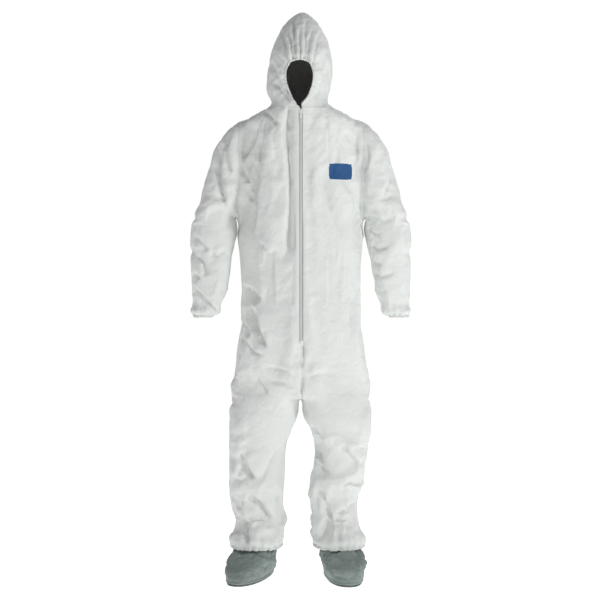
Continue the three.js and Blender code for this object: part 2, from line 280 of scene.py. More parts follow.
def build_shell():
    """One closed skin over the body, the hood, the sleeves and the legs."""
    def both(*stems):
        return [f"{stem}_{s}" for stem in stems for s in SIDES]

    body = sections([both("hip_section"), both("front_panel", "back_panel")])
    beside_arms = smoothstep(body[:, 0], *BESIDE_ARMS_Z) * (body[:, 0] < ARMPIT_Z)
    body[:, 1] += (np.maximum(body[:, 1], -SIDE_X) - body[:, 1]) * beside_arms
    body[:, 2] += (np.minimum(body[:, 2], SIDE_X) - body[:, 2]) * beside_arms
    legs_top = np.array(extent(both("thigh_front", "thigh_back"), CROTCH_Z - 2 * MM))
    hips = smoothstep(-body[:, 0], -0.84, -CROTCH_Z)[:, None]
    body[:, 1:] += hips * (legs_top - body[:, 1:])
    hood = sections([both("hood_neck"), both("hood")])
    pinch = np.exp(-((hood[:, 0] - NECK_PINCH_Z) / 0.018) ** 2) * NECK_PINCH
    hood[:, 1] += pinch
    hood[:, 2] -= pinch
    parts = [tube("body", body), tube("hood", extended(hood, down=0.03))]
    for s in SIDES:
        stack = ["sleeve_lower", "elbow_section", "sleeve_upper", "sleeve_cap"]
        sleeve = sections([[f"{stem}_{s}"] for stem in stack])
        inner_edge(sleeve, s, CUFF_Z, ARMPIT_Z, SLEEVE_IN_X)
        joined = sleeve[:, 0] > ARMPIT_Z - 0.02
        rise = (ARMPIT_Z - 0.02, CAP_Z + 0.02)
        inner = np.interp(sleeve[joined, 0], rise, (SLEEVE_IN_X, SHOULDER_IN_X))
        sleeve[joined, 1 if s == "left" else 2] = SIGN[s] * inner
        parts.append(tube(f"sleeve_{s}", extended(sleeve, down=0.03)))
        stack = [["hem_section"], ["calf_front", "calf_back"], ["knee_section"],
                 ["thigh_front", "thigh_back"]]
        leg = sections([[f"{stem}_{s}" for stem in stems] for stems in stack])
        inner_edge(leg, s, KNEE_Z, 1, INSEAM_X)
        parts.append(tube(f"leg_{s}", extended(leg, down=0.03, up=0.05)))
    shell = join("shell", parts)
    remesh = shell.modifiers.new("voxels", "REMESH")
    remesh.mode = "VOXEL"
    remesh.voxel_size = VOXEL
    apply_modifier(shell, remesh)
    smooth = shell.modifiers.new("smooth", "SMOOTH")
    smooth.factor = 0.6
    smooth.iterations = 8
    apply_modifier(shell, smooth)
    lay_seams(shell)
    close_sides(shell)
    close_inseams(shell)
    ease_joins(shell)
    return shell


def in_arm(c):
    """Whether a point of the uncreased shell lies on a sleeve."""
    x, z = abs(c[0]), c[2]
    return x > ARM_SPLIT_X and CUFF_Z - 0.04 < z < NECK_Z and (z > HANDS_Z or x > CUFF_IN_X)


def piece_at(c):
    """The stem of the piece that a point of the uncreased shell belongs to."""
    if in_arm(c):
        return "sleeve_upper" if c[2] > ELBOW_Z else "sleeve_lower"
    if c[2] > NECK_Z:
        return "hood"
    if c[2] > WAIST_Z:
        return "front_panel" if c[1] < AXIS_Y else "back_panel"
    if c[2] > KNEE_Z:
        return "leg_upper"
    return "leg_lower" if c[2] > SHIN_Z else "leg_hem"


def score(obj, point, normal, where, seam):
    """Lays a line of edges along a plane, as a seam or only as the end of a piece."""
    point, normal = Vector(point), Vector(normal)
    with edited(obj) as bm:
        for v in bm.verts:
            off = (v.co - point).dot(normal)
            if abs(off) < VOXEL * 0.3 and where(v.co):
                v.co -= off * normal
        faces = [f for f in bm.faces if where(f.calc_center_median())]
        bmesh.ops.bisect_plane(bm, geom=parts_of(faces), dist=1e-5, plane_co=point, plane_no=normal)
        for e in bm.edges if seam else ():
            on_plane = all(abs((v.co - point).dot(normal)) < 2e-5 for v in e.verts)
            if on_plane and where((e.verts[0].co + e.verts[1].co) / 2):
                e.seam = True


def lay_seams(obj):
    """Marks the seams, and gives each face the number of its piece as its material index."""
    def body_above(z):
        return lambda c: c[2] > z and not in_arm(c)

    def sleeve_seam(c):
        return in_arm(c) and c[2] < ARMPIT_Z and abs(c[0]) < 0.28

    def armhole(c):
        return ARMPIT_Z - 0.03 < c[2] < NECK_Z and abs(c[0]) < 0.24

    score(obj, (0, 0, 0), (1, 0, 0), lambda c: abs(c[0]) < 0.05, True)
    score(obj, (0, AXIS_Y, 0), (0, 1, 0), lambda c: not in_arm(c) and c[2] < NECK_Z, True)
    score(obj, (0, AXIS_Y, 0), (0, 1, 0), sleeve_seam, True)
    score(obj, (0, 0, NECK_Z), (0, 0, 1), body_above(1.5), True)
    for side in (-1, 1):
        score(obj, (side * ARM_SPLIT_X, 0, 0), (1, 0, 0), armhole, True)
    for z in (WAIST_Z, KNEE_Z, SHIN_Z):
        score(obj, (0, 0, z), (0, 0, 1), lambda c: not in_arm(c), False)
    score(obj, (0, 0, ELBOW_Z), (0, 0, 1), in_arm, False)
    for _ in range(2 * len(STEMS)):
        obj.data.materials.append(None)
    for face in obj.data.polygons:
        c = face.center
        face.material_index = 2 * STEMS.index(piece_at(c)) + (0 if c[0] > 0 else 1)


def close_sides(obj):
    """Brings the sleeves' inner sides and the body's sides together again below the armpits."""
    co = coords(obj)
    x = np.abs(co[:, 0])
    arm = arm_mask(co)
    below = smoothstep(co[:, 2], 0.90, 1.0) * smoothstep(-co[:, 2], -ARMPIT_Z - 0.03, -ARMPIT_Z + 0.05)
    parted = SIDE_GAP + 0.020 * smoothstep(-co[:, 2], -1.15, -1.02)
    gap = (SLEEVE_IN_X - SIDE_X + 2 * INSET - parted) * below
    inner = np.where(arm, smoothstep(-x, -0.30, -SLEEVE_IN_X), 0) * 0.55
    outer = np.where(~arm, smoothstep(x, 0.12, SIDE_X), 0) * 0.45
    co[:, 0] += np.sign(co[:, 0]) * gap * (outer - inner)
    set_coords(obj, co)


def close_inseams(obj):
    """Brings the inner sides of the thighs together below the crotch, into a narrow upturned V."""
    co = coords(obj)
    x, z = np.abs(co[:, 0]), co[:, 2]
    spare = np.interp(z, (0.44, 0.50, 0.54, 0.60), (0.0, 0.006, 0.013, 0.016))
    near = smoothstep(-x, -0.12, -INSEAM_X - INSET) * (z < CROTCH_Z + 0.02)
    near *= smoothstep(x, 0.004, 0.018)
    co[:, 0] -= np.sign(co[:, 0]) * spare * near
    set_coords(obj, co)


def ease_joins(obj):
    """Smooths the steps where the legs meet the body and the sleeves meet its sides."""
    with edited(obj) as bm:
        for reach in (0.060, 0.048, 0.036, 0.024):
            hips = [v for v in bm.verts if abs(v.co.z - CROTCH_Z) < reach and abs(v.co.x) > 0.012]
            armpits = [v for v in bm.verts
                       if abs(v.co.z - ARMPIT_Z - 0.01) < reach and 0.17 < abs(v.co.x) < 0.30]
            relax(bm, hips, 8, "xy")
            relax(bm, armpits, 4, "xy")


def cut(obj, point, normal, clear=True, where=None):
    """Cuts the faces near a plane along it. clear drops what lies on the plane's far side."""
    def wanted(face):
        return where is None or where(face.calc_center_median())

    with edited(obj) as bm:
        faces = [f for f in bm.faces if wanted(f)]
        bmesh.ops.bisect_plane(bm, geom=parts_of(faces), dist=1e-5, plane_co=point, plane_no=normal)
        if clear:
            far = [f for f in bm.faces
                   if wanted(f) and (f.calc_center_median() - Vector(point)).dot(Vector(normal)) > 0]
            bmesh.ops.delete(bm, geom=far, context="FACES")


def near_cuff(c):
    """Whether a point lies by the end of a sleeve."""
    return abs(c[0]) > CUFF_IN_X and abs(c[2] - CUFF_Z) < 0.05


def in_front(c):
    """Whether a point lies on the front along the zip."""
    return c[1] < FRONT_Y + 0.03 and ZIP_LOW.z - 0.01 < c[2] < ZIP_HIGH.z + 0.03


def open_shell(obj):
    """Opens the cuffs, the hems, the front and the face."""
    cut(obj, (0, 0, CUFF_Z), (0, 0, -1), where=near_cuff)
    cut(obj, (0, 0, HEM_Z), (0, 0, -1))
    for side in (-1, 1):
        cut(obj, (side * ZIP_HALF, 0, 0), (1, 0, 0), clear=False, where=in_front)
    cut(obj, (0, 0, ZIP_LOW.z), (0, 0, 1), clear=False, where=lambda c: in_front(c) and abs(c[0]) < 0.03)
    middle = face_middle()
    hole = []
    with edited(obj) as bm:
        for f in bm.faces:
            c = f.calc_center_median()
            slot = in_front(c) and abs(c.x) < ZIP_HALF and c.z > ZIP_LOW.z
            if slot or (f.normal.y < 0 and in_face(c, middle)):
                hole.append(f)
        bmesh.ops.delete(bm, geom=hole, context="FACES")
    settle_rim(obj, middle)


def face_middle():
    """The middle of the face opening's widest line."""
    return Vector(((FACE_LOW.x + FACE_HIGH.x) / 2 + 0.002, 0, FACE_HIGH.z - FACE_ABOVE))


def face_radius(angle):
    """The face opening's edge from its middle, by the angle from +X: a flat arch over a long point."""
    c, s = math.cos(angle), math.sin(angle)
    half_x = (FACE_HIGH.x - FACE_LOW.x) / 2 + 0.005
    if s >= 0:
        return (abs(c / half_x) ** 2.6 + abs(s / FACE_ABOVE) ** 2.6) ** (-1 / 2.6)
    return (abs(c / half_x) ** 1.45 + abs(s / FACE_BELOW) ** 1.45) ** (-1 / 1.45)


def in_face(c, middle):
    """Whether a point lies within the face opening."""
    d = Vector((c[0] - middle.x, c[2] - middle.z))
    return c[1] < AXIS_Y and d.length < face_radius(math.atan2(d.y, d.x))


def settle_rim(obj, middle):
    """Moves the ragged edge of the face opening onto its true outline."""
    with edited(obj) as bm:
        rim = [v for v in bm.verts if v.is_boundary and v.co.z > FACE_LOW.z - 0.01 and v.co.y < AXIS_Y
               and not (abs(v.co.x) < ZIP_HALF + MM and v.co.z < FACE_LOW.z + 0.012)]
        for v in rim:
            d = Vector((v.co.x - middle.x, v.co.z - middle.z))
            d *= face_radius(math.atan2(d.y, d.x)) / d.length
            v.co.x, v.co.z = middle.x + d.x, middle.z + d.y
        near = {n for v in rim for e in v.link_edges for n in e.verts if not n.is_boundary}
        near = sorted(near, key=lambda v: v.index)
        for _ in range(4):
            for v in near:
                v.co = sum((e.other_vert(v).co for e in v.link_edges), Vector()) / len(v.link_edges)


# Cloth: the shell starts longer and wider than it is, and is squeezed to its size, so it creases.

# Spare length per metre, down the legs and the sleeves: (height, share).
LEG_SLACK = ((0.60, 0.0), (0.50, 0.02), (KNEE_Z, 0.12), (0.34, 0.13), (0.26, 0.12), (0.18, 0.18),
             (HEM_Z, 0.20))
ARM_SLACK = ((1.33, 0.0), (1.22, 0.03), (ELBOW_Z, 0.10), (1.02, 0.08), (0.94, 0.10), (CUFF_Z, 0.20))
# Spare girth, as a share of it, by height.
GIRTH_SLACK = ((0.10, 0.08), (0.30, 0.09), (0.45, 0.06), (0.60, 0.04), (0.80, 0.045), (1.40, 0.06),
               (1.50, 0.05), (1.56, 0.02), (1.86, 0.025))
CLOTH_FRAMES, SQUEEZED_FRAME = 24, 13
SLEEVE_AXIS_X = 0.29
# How firmly the body inside carries the fabric, by height.
SUPPORT = ((0.10, 0.03), (0.50, 0.03), (0.62, 0.06), (1.10, 0.05), (1.34, 0.10), (1.44, 0.3), (1.56, 0.3),
           (1.62, 0.12), (1.80, 0.12), (1.86, 0.3))


def spare_length(z, table):
    """How much further down a point hangs in the longer cloth."""
    heights, shares = np.array(table).T
    grid = np.linspace(heights[-1], heights[0], 400)
    share = np.interp(grid, heights[::-1], shares[::-1])
    total = np.concatenate([[0], np.cumsum((share[1:] + share[:-1]) / 2 * np.diff(grid))])
    return np.interp(z, grid, total[-1] - total)


def arm_mask(co):
    """Which points of the uncreased shell lie on the sleeves."""
    x, z = np.abs(co[:, 0]), co[:, 2]
    return (x > ARM_SPLIT_X) & (z < 1.6) & (z > CUFF_Z - 0.03) & ((x > CUFF_IN_X) | (z > HANDS_Z))


def support_group(obj, z, arm):
    """A vertex group of how firmly each point is held: open edges fully, and the sleeves hardly."""
    bm = bmesh.new()
    bm.from_mesh(obj.data)
    rim = np.array([v.is_boundary for v in bm.verts])
    bm.free()
    support = np.interp(z, *np.array(SUPPORT).T)
    support[arm & (z < 1.40)] = 0.03
    support[rim] = 1
    group = obj.vertex_groups.new(name="support")
    for i, weight in enumerate(support):
        group.add([i], float(weight), "REPLACE")
    return group


def longer_cloth(co, arm):
    """The shell with its spare length and girth, each sleeve widened about its own axis."""
    x, y, z = co.T
    longer = co.copy()
    girth = 1 + np.interp(z, *np.array(GIRTH_SLACK).T)
    hub = SLEEVE_AXIS_X * smoothstep(np.abs(x), 0.16, 0.26)
    hub *= smoothstep(-z, -1.45, -1.30) * smoothstep(z, 1.02, ARMPIT_Z)
    hub = np.sign(x) * np.where(arm & (z < ARMPIT_Z), SLEEVE_AXIS_X, hub)
    longer[:, 0] = hub + (x - hub) * girth
    longer[:, 1] = AXIS_Y + (y - AXIS_Y) * girth
    longer[:, 2] -= np.where(arm, spare_length(z, ARM_SLACK), spare_length(z, LEG_SLACK))
    return longer


def cloth_settings(obj, group, frames):
    """Thin paper-like cloth, softly held where the body carries it."""
    cloth = obj.modifiers.new("cloth", "CLOTH")
    settings = cloth.settings
    settings.quality = 4
    settings.mass = 0.005
    settings.tension_stiffness = settings.compression_stiffness = 15
    settings.shear_stiffness = 6
    settings.bending_stiffness = 0.12
    settings.vertex_group_mass = group.name
    settings.pin_stiffness = 0.6
    settings.shrink_min = -0.02
    settings.effector_weights.gravity = 0.25
    cloth.collision_settings.use_collision = False
    cloth.point_cache.frame_start, cloth.point_cache.frame_end = 1, frames


def drape(obj):
    """Squeezes the longer cloth to the shell's size over a few frames, which leaves creases."""
    co = coords(obj)
    arm = arm_mask(co)
    group = support_group(obj, co[:, 2], arm)
    obj.shape_key_add(name="Basis")
    key = obj.shape_key_add(name="longer")
    key.data.foreach_set("co", longer_cloth(co, arm).ravel())
    for frame_number, value in ((1, 1), (SQUEEZED_FRAME, 0)):
        key.value = value
        key.keyframe_insert("value", frame=frame_number)
    cloth_settings(obj, group, CLOTH_FRAMES)
    scene = bpy.context.scene
    for frame_number in range(1, CLOTH_FRAMES + 1):
        scene.frame_set(frame_number)
    evaluated = obj.evaluated_get(bpy.context.evaluated_depsgraph_get())
    rest_normals = normals(obj)
    draped = np.empty(len(co) * 3)
    evaluated.data.vertices.foreach_get("co", draped)
    draped = kept_full(co, rest_normals, draped.reshape(-1, 3))
    obj.modifiers.clear()
    obj.shape_key_clear()
    obj.animation_data_clear()
    obj.vertex_groups.clear()
    set_coords(obj, without_rings(co, draped, arm))
    scene.frame_set(1)


# Heights where joins leave level creases: (height, reach, rounds of smoothing).
EASED_BANDS = (
    (0.865, 0.035, 5),
    (WAIST_Z, 0.035, 5),
    (ARMPIT_Z - 0.03, 0.055, 6),
    (CROTCH_Z - 0.01, 0.085, 12),
)


def ease_cloth(obj):
    """Takes out the level creases that form where the trunk's pieces and joins run round it."""
    with edited(obj) as bm:
        for middle, reach, rounds in EASED_BANDS:
            for share in (1.0, 0.75, 0.5):
                band = [v for v in bm.verts if abs(v.co.z - middle) < share * reach
                        and abs(v.co.x) > 0.03 and not in_arm(v.co) and not v.is_boundary]
                relax(bm, band, rounds, "y")


def kept_full(rest, rest_normals, draped):
    """Limits how far creases go in, where the body inside would stop them, and how far they stand out."""
    moved = ((draped - rest) * rest_normals).sum(1)
    limit = np.where(moved < 0, 0.006, 0.022)
    return draped + rest_normals * (limit * np.tanh(moved / limit) - moved)[:, None]


def without_rings(rest, draped, arm):
    """Takes out of the body's creases what goes all the way across, which hung cloth doesn't show."""
    z = rest[:, 2]
    grid = np.arange(0.55, NECK_Z, 0.01)
    for facing in (-1, 1):
        depth = facing * (rest[:, 1] - AXIS_Y)
        face = ~arm & (z > 0.55) & (z < NECK_Z) & (depth > 0.06) & (np.abs(rest[:, 0]) < 0.17)
        moved = draped[face, 1] - rest[face, 1]
        mean = np.array([moved[np.abs(z[face] - level) < 0.012].mean() for level in grid])
        level_mean = np.interp(z, grid, mean) - mean.mean()
        share = smoothstep(z, 0.58, 0.70) * smoothstep(-z, -NECK_Z, -1.46) * smoothstep(depth, 0.0, 0.07)
        draped[:, 1] -= np.where(arm, 0, share * level_mean)
    return draped


# Finer surface: seams, gathers at the elastic, and the sharp small creases of paper-like cloth.


def crumple(co, seed, cell, stretch=(1, 1, 1)):
    """Distance to the nearest wall between random cells, from 0 on a wall: straight sharp creases."""
    rng = np.random.default_rng(seed)
    scaled = co / np.array(stretch)
    low, high = scaled.min(0) - cell, scaled.max(0) + cell
    shape = np.ceil((high - low) / cell).astype(int)
    grid = np.stack(np.meshgrid(*[np.arange(n) for n in shape], indexing="ij"), -1).reshape(-1, 3)
    near = set(map(tuple, np.floor((scaled - low) / cell).astype(int)))
    wanted = {(i + a, j + b, k + c) for i, j, k in near for a, b, c in product((-1, 0, 1), repeat=3)}
    jitter = rng.random((len(grid), 3))
    tree = KDTree(len(wanted))
    for index, (place, offset) in enumerate(zip(grid, jitter)):
        if tuple(place) in wanted:
            tree.insert(low + (place + offset) * cell, index)
    tree.balance()
    walls = np.empty(len(co))
    for i, point in enumerate(scaled):
        (_, _, first), (_, _, second) = tree.find_n(point, 2)
        walls[i] = second - first
    return np.minimum(walls / cell, 1)


def polyline_distance(x, z, points):
    """Signed distance to a line of points, positive on its left, and how far along it, from 0 to 1."""
    points = np.array(points, float)
    steps = np.diff(points, axis=0)
    lengths = np.linalg.norm(steps, axis=1)
    best = np.full(len(x), np.inf)
    signed, along = np.zeros(len(x)), np.zeros(len(x))
    done = 0.0
    for (px, pz), (dx, dz), length in zip(points, steps, lengths):
        t = np.clip(((x - px) * dx + (z - pz) * dz) / length**2, 0, 1)
        off_x, off_z = x - px - t * dx, z - pz - t * dz
        distance = np.hypot(off_x, off_z)
        nearer = distance < best
        best = np.where(nearer, distance, best)
        side = np.sign(dx * off_z - dz * off_x)
        signed = np.where(nearer, side * distance, signed)
        along = np.where(nearer, (done + t * length) / lengths.sum(), along)
        done += length
    return signed, along


# Main folds, seen from the front: (width, depth, lean, points across and up). Each is a sharp groove, and
# lean raises the cloth on the left of its direction above the cloth on the right.
FRONT_FOLDS = (
    # Wearer's right chest, from the shoulder and towards the armpit
    (0.007, 0.011, 1.0, ((-0.115, 1.49), (-0.125, 1.41), (-0.129, 1.33), (-0.142, 1.27), (-0.146, 1.19),
                         (-0.158, 1.12))),
    (0.006, 0.010, -0.6, ((-0.129, 1.33), (-0.158, 1.28), (-0.186, 1.235))),
    (0.005, 0.008, 0.5, ((-0.191, 1.36), (-0.168, 1.29), (-0.183, 1.24))),
    (0.006, 0.008, 0.8, ((-0.128, 1.49), (-0.160, 1.42), (-0.190, 1.36))),
    (0.008, 0.010, -1.0, ((-0.059, 1.53), (-0.046, 1.38), (-0.034, 1.24), (-0.040, 1.17), (-0.048, 1.08),
                          (-0.070, 1.03))),
    (0.006, 0.008, 0.6, ((-0.122, 1.535), (-0.070, 1.478))),
    (0.005, 0.008, -0.8, ((-0.042, 1.545), (-0.046, 1.455))),
    (0.004, 0.005, 0.5, ((-0.018, 1.46), (-0.010, 1.37))),
    (0.007, 0.008, 0.6, ((-0.228, 1.47), (-0.242, 1.41), (-0.224, 1.32))),
    (0.008, 0.011, 0.8, ((-0.258, 1.44), (-0.266, 1.34), (-0.246, 1.24), (-0.236, 1.20))),
    (0.005, 0.005, 0.4, ((-0.135, 1.11), (-0.105, 1.07), (-0.075, 1.075))),
    # Wearer's right flank and hip
    (0.006, 0.008, 0.7, ((-0.201, 0.965), (-0.160, 0.945), (-0.126, 0.915))),
    (0.005, 0.009, 0.7, ((-0.170, 0.91), (-0.150, 0.85), (-0.138, 0.80))),
    (0.005, 0.008, 0.6, ((-0.196, 0.85), (-0.162, 0.79))),
    (0.006, 0.010, 0.8, ((-0.150, 0.90), (-0.136, 0.82), (-0.108, 0.755))),
    (0.005, 0.007, 0.6, ((-0.200, 0.80), (-0.150, 0.745), (-0.122, 0.735))),
    (0.005, 0.005, 0.3, ((-0.150, 0.665), (-0.125, 0.64), (-0.105, 0.61))),
    (0.006, 0.006, -0.4, ((-0.014, 1.14), (-0.028, 0.98), (-0.030, 0.91), (-0.006, 0.84))),
    (0.006, 0.004, 0.3, ((-0.125, 0.70), (-0.060, 0.69), (-0.012, 0.665))),
    (0.006, 0.004, -0.3, ((-0.110, 0.65), (-0.055, 0.645), (-0.012, 0.62))),
    # Wearer's left chest and side
    (0.010, 0.005, -0.7, ((0.053, 1.36), (0.080, 1.26), (0.108, 1.19), (0.128, 1.11))),
    (0.008, 0.003, 0.5, ((0.066, 1.32), (0.098, 1.22), (0.120, 1.14))),
    (0.008, 0.005, 0.6, ((0.140, 1.47), (0.175, 1.43), (0.190, 1.38))),
    (0.007, 0.006, 0.6, ((0.201, 1.21), (0.196, 1.16), (0.221, 1.10))),
    (0.008, 0.004, -0.4, ((0.200, 0.99), (0.165, 0.91), (0.156, 0.84), (0.185, 0.80))),
    (0.006, 0.004, 0.4, ((0.012, 0.66), (0.060, 0.68), (0.120, 0.675))),
    (0.007, 0.005, 0.5, ((0.212, 1.44), (0.222, 1.38), (0.208, 1.32))),
    (0.008, 0.006, -0.5, ((0.285, 1.40), (0.294, 1.31), (0.262, 1.245))),
    (0.006, 0.006, 0.5, ((0.228, 1.19), (0.262, 1.175), (0.300, 1.18))),
    (0.005, 0.007, 0.5, ((0.216, 1.155), (0.240, 1.13), (0.262, 1.135))),
    (0.005, 0.007, -0.5, ((0.219, 1.095), (0.245, 1.075), (0.290, 1.085))),
    (0.005, 0.007, 0.5, ((0.222, 1.06), (0.236, 1.035), (0.265, 1.03))),
    (0.005, 0.005, -0.4, ((0.225, 1.00), (0.260, 0.985), (0.310, 1.00))),
    (0.010, 0.010, 0.4, ((0.246, 0.925), (0.262, 0.90), (0.268, 0.868))),
    # Wearer's right sleeve
    (0.008, 0.006, 0.5, ((-0.355, 1.13), (-0.320, 1.10), (-0.300, 1.07))),
    (0.005, 0.007, -0.6, ((-0.355, 1.06), (-0.325, 1.035), (-0.312, 0.985))),
    (0.005, 0.007, 0.7, ((-0.358, 0.965), (-0.320, 0.925), (-0.288, 0.89), (-0.262, 0.868))),
    (0.005, 0.006, 0.5, ((-0.356, 1.005), (-0.330, 0.985))),
    (0.006, 0.006, -0.5, ((-0.240, 1.08), (-0.275, 1.06), (-0.300, 1.075))),
    # Wearer's right leg
    (0.008, 0.011, 0.8, ((-0.192, 0.425), (-0.178, 0.37), (-0.148, 0.325))),
    (0.006, 0.007, -0.5, ((-0.052, 0.452), (-0.102, 0.385), (-0.138, 0.318))),
    (0.007, 0.011, 0.9, ((-0.176, 0.278), (-0.130, 0.252), (-0.102, 0.212), (-0.082, 0.208))),
    (0.007, 0.010, 0.7, ((-0.201, 0.255), (-0.192, 0.19), (-0.172, 0.172))),
    (0.006, 0.009, 0.6, ((-0.158, 0.215), (-0.176, 0.17), (-0.168, 0.105))),
    (0.006, 0.007, -0.5, ((-0.045, 0.265), (-0.088, 0.262))),
    (0.006, 0.007, 0.4, ((-0.226, 0.335), (-0.200, 0.325), (-0.175, 0.335))),
    # Wearer's left leg
    (0.007, 0.010, -0.7, ((0.030, 0.465), (0.060, 0.385), (0.070, 0.345))),
    (0.006, 0.008, 0.5, ((0.036, 0.39), (0.066, 0.365), (0.098, 0.348))),
    (0.006, 0.007, -0.4, ((0.022, 0.50), (0.070, 0.455))),
    (0.008, 0.012, -1.0, ((0.050, 0.33), (0.064, 0.265), (0.084, 0.20), (0.048, 0.115))),
    (0.005, 0.009, 0.6, ((0.108, 0.212), (0.150, 0.230), (0.210, 0.262))),
    (0.006, 0.006, -0.5, ((0.112, 0.212), (0.122, 0.12))),
    (0.009, 0.006, 0.5, ((0.132, 0.452), (0.168, 0.40), (0.190, 0.37))),
    (0.006, 0.005, 0.4, ((0.204, 0.30), (0.160, 0.315), (0.130, 0.30))),
    # The groove of the closed front and its flap, down to the crotch
    (0.0030, 0.010, 0.0, ((0.006, 0.84), (0.006, 0.72), (0.003, 0.56))),
    # Hood
    (0.006, 0.007, 0.5, ((-0.100, 1.70), (-0.070, 1.62), (-0.020, 1.555))),
    (0.006, 0.006, -0.5, ((-0.095, 1.62), (-0.060, 1.575), (-0.035, 1.55))),
    (0.003, 0.005, 0.5, ((-0.070, 1.81), (-0.050, 1.74), (-0.034, 1.64))),
    (0.003, 0.006, -0.5, ((-0.050, 1.79), (-0.036, 1.74), (-0.024, 1.66))),
    (0.003, 0.006, 0.5, ((-0.026, 1.84), (-0.020, 1.76), (-0.013, 1.66))),
    (0.003, 0.005, -0.4, ((-0.006, 1.79), (-0.005, 1.74), (-0.003, 1.66))),
    (0.003, 0.006, -0.5, ((0.016, 1.84), (0.012, 1.76), (0.008, 1.66))),
    (0.003, 0.005, 0.5, ((0.040, 1.80), (0.030, 1.75), (0.019, 1.66))),
    (0.003, 0.006, -0.5, ((0.066, 1.80), (0.048, 1.73), (0.032, 1.64))),
    (0.006, 0.005, -0.5, ((0.085, 1.68), (0.066, 1.60), (0.036, 1.555))),
)
# The same for the back, seen from the front as well.
BACK_FOLDS = (
    (0.008, 0.009, 0.7, ((0.190, 1.30), (0.135, 1.36), (0.085, 1.45))),
    (0.008, 0.009, -0.7, ((-0.190, 1.29), (-0.140, 1.37), (-0.095, 1.46))),
    (0.007, 0.008, 0.5, ((0.180, 1.24), (0.120, 1.27), (0.060, 1.33))),
    (0.007, 0.007, -0.5, ((-0.185, 1.20), (-0.130, 1.20), (-0.085, 1.24))),
    (0.008, 0.008, 0.6, ((0.100, 1.20), (0.085, 1.08), (0.095, 0.95))),
    (0.008, 0.007, -0.6, ((-0.050, 1.31), (-0.085, 1.16), (-0.070, 1.05))),
    (0.007, 0.007, 0.4, ((0.180, 0.98), (0.120, 0.945), (0.050, 0.96))),
    (0.007, 0.005, -0.4, ((-0.190, 1.04), (-0.130, 0.99), (-0.075, 1.00))),
    (0.007, 0.007, 0.5, ((0.170, 0.86), (0.110, 0.80), (0.040, 0.73))),
    (0.007, 0.006, -0.5, ((-0.185, 0.79), (-0.120, 0.75), (-0.055, 0.76))),
    (0.008, 0.009, 0.6, ((0.020, 0.60), (0.080, 0.63), (0.170, 0.66))),
    (0.008, 0.007, -0.6, ((-0.030, 0.57), (-0.090, 0.55), (-0.160, 0.58))),
    (0.007, 0.006, 0.5, ((0.070, 0.45), (0.115, 0.43), (0.180, 0.45))),
    (0.007, 0.008, -0.5, ((-0.045, 0.44), (-0.115, 0.40), (-0.190, 0.42))),
    (0.007, 0.008, -0.5, ((0.050, 0.39), (0.110, 0.37), (0.180, 0.38))),
    (0.007, 0.009, 0.5, ((0.060, 0.25), (0.110, 0.21), (0.170, 0.22))),
    (0.007, 0.009, -0.5, ((-0.060, 0.27), (-0.120, 0.23), (-0.190, 0.25))),
    (0.006, 0.008, 0.5, ((0.225, 1.13), (0.270, 1.105), (0.335, 1.12))),
    (0.006, 0.007, -0.5, ((-0.230, 1.17), (-0.270, 1.12), (-0.340, 1.14))),
    (0.006, 0.007, 0.5, ((0.235, 0.99), (0.285, 0.96), (0.340, 0.97))),
    (0.006, 0.007, -0.5, ((-0.250, 1.04), (-0.300, 1.00), (-0.345, 0.96))),
    (0.007, 0.007, 0.5, ((0.020, 1.57), (0.050, 1.60), (0.090, 1.66))),
    (0.007, 0.007, -0.5, ((-0.020, 1.565), (-0.055, 1.59), (-0.095, 1.64))),
)
# Broad swells and hollows of the front: (width, height, points).
FRONT_SWELLS = (
    (0.034, 0.008, ((-0.092, 1.44), (-0.088, 1.25), (-0.092, 1.09))),
    (0.016, -0.007, ((-0.020, 1.33), (-0.018, 1.20), (-0.026, 1.09))),
    (0.026, -0.010, ((-0.180, 1.22), (-0.178, 1.05), (-0.165, 0.93))),
    (0.030, 0.006, ((0.040, 1.44), (0.042, 1.20), (0.050, 1.00))),
    (0.020, -0.006, ((0.180, 1.20), (0.186, 1.10))),
    (0.030, 0.010, ((-0.215, 0.345), (-0.195, 0.33))),
    (0.030, 0.010, ((0.060, 0.30), (0.044, 0.27))),
)


FOLD_WIDTH, FOLD_DEPTH = 1.1, 1.6  # scale all of the folds together


def fold_push(co, no):
    """How far the main folds push each point along its normal."""
    x, _, z = co.T
    front = smoothstep(-no[:, 1], 0.0, 0.45)
    back = smoothstep(no[:, 1], 0.0, 0.45)
    push = np.zeros(len(co))
    for facing, folds in ((front, FRONT_FOLDS), (back, BACK_FOLDS)):
        for width, depth, lean, points in folds:
            signed, along = polyline_distance(x, z, points)
            ends = smoothstep(along, 0, 0.25) * smoothstep(-along, -1, -0.75)
            groove = -np.exp(-np.abs(signed) / (FOLD_WIDTH * width))
            reach = np.exp(-np.abs(signed) / (3.5 * FOLD_WIDTH * width))
            step = lean * np.tanh(2 * signed / (FOLD_WIDTH * width)) * reach
            push += facing * ends * FOLD_DEPTH * depth * (groove + step)
    for width, height, points in FRONT_SWELLS:
        signed, _ = polyline_distance(x, z, points)
        push += front * height * np.exp(-((signed / width) ** 2))
    return push


def ripple(angle, count):
    """Uneven waves round an elasticated edge."""
    return np.sin(count * angle + 1.4 * np.sin(3 * angle) + 0.8 * np.sin(5 * angle + 1))


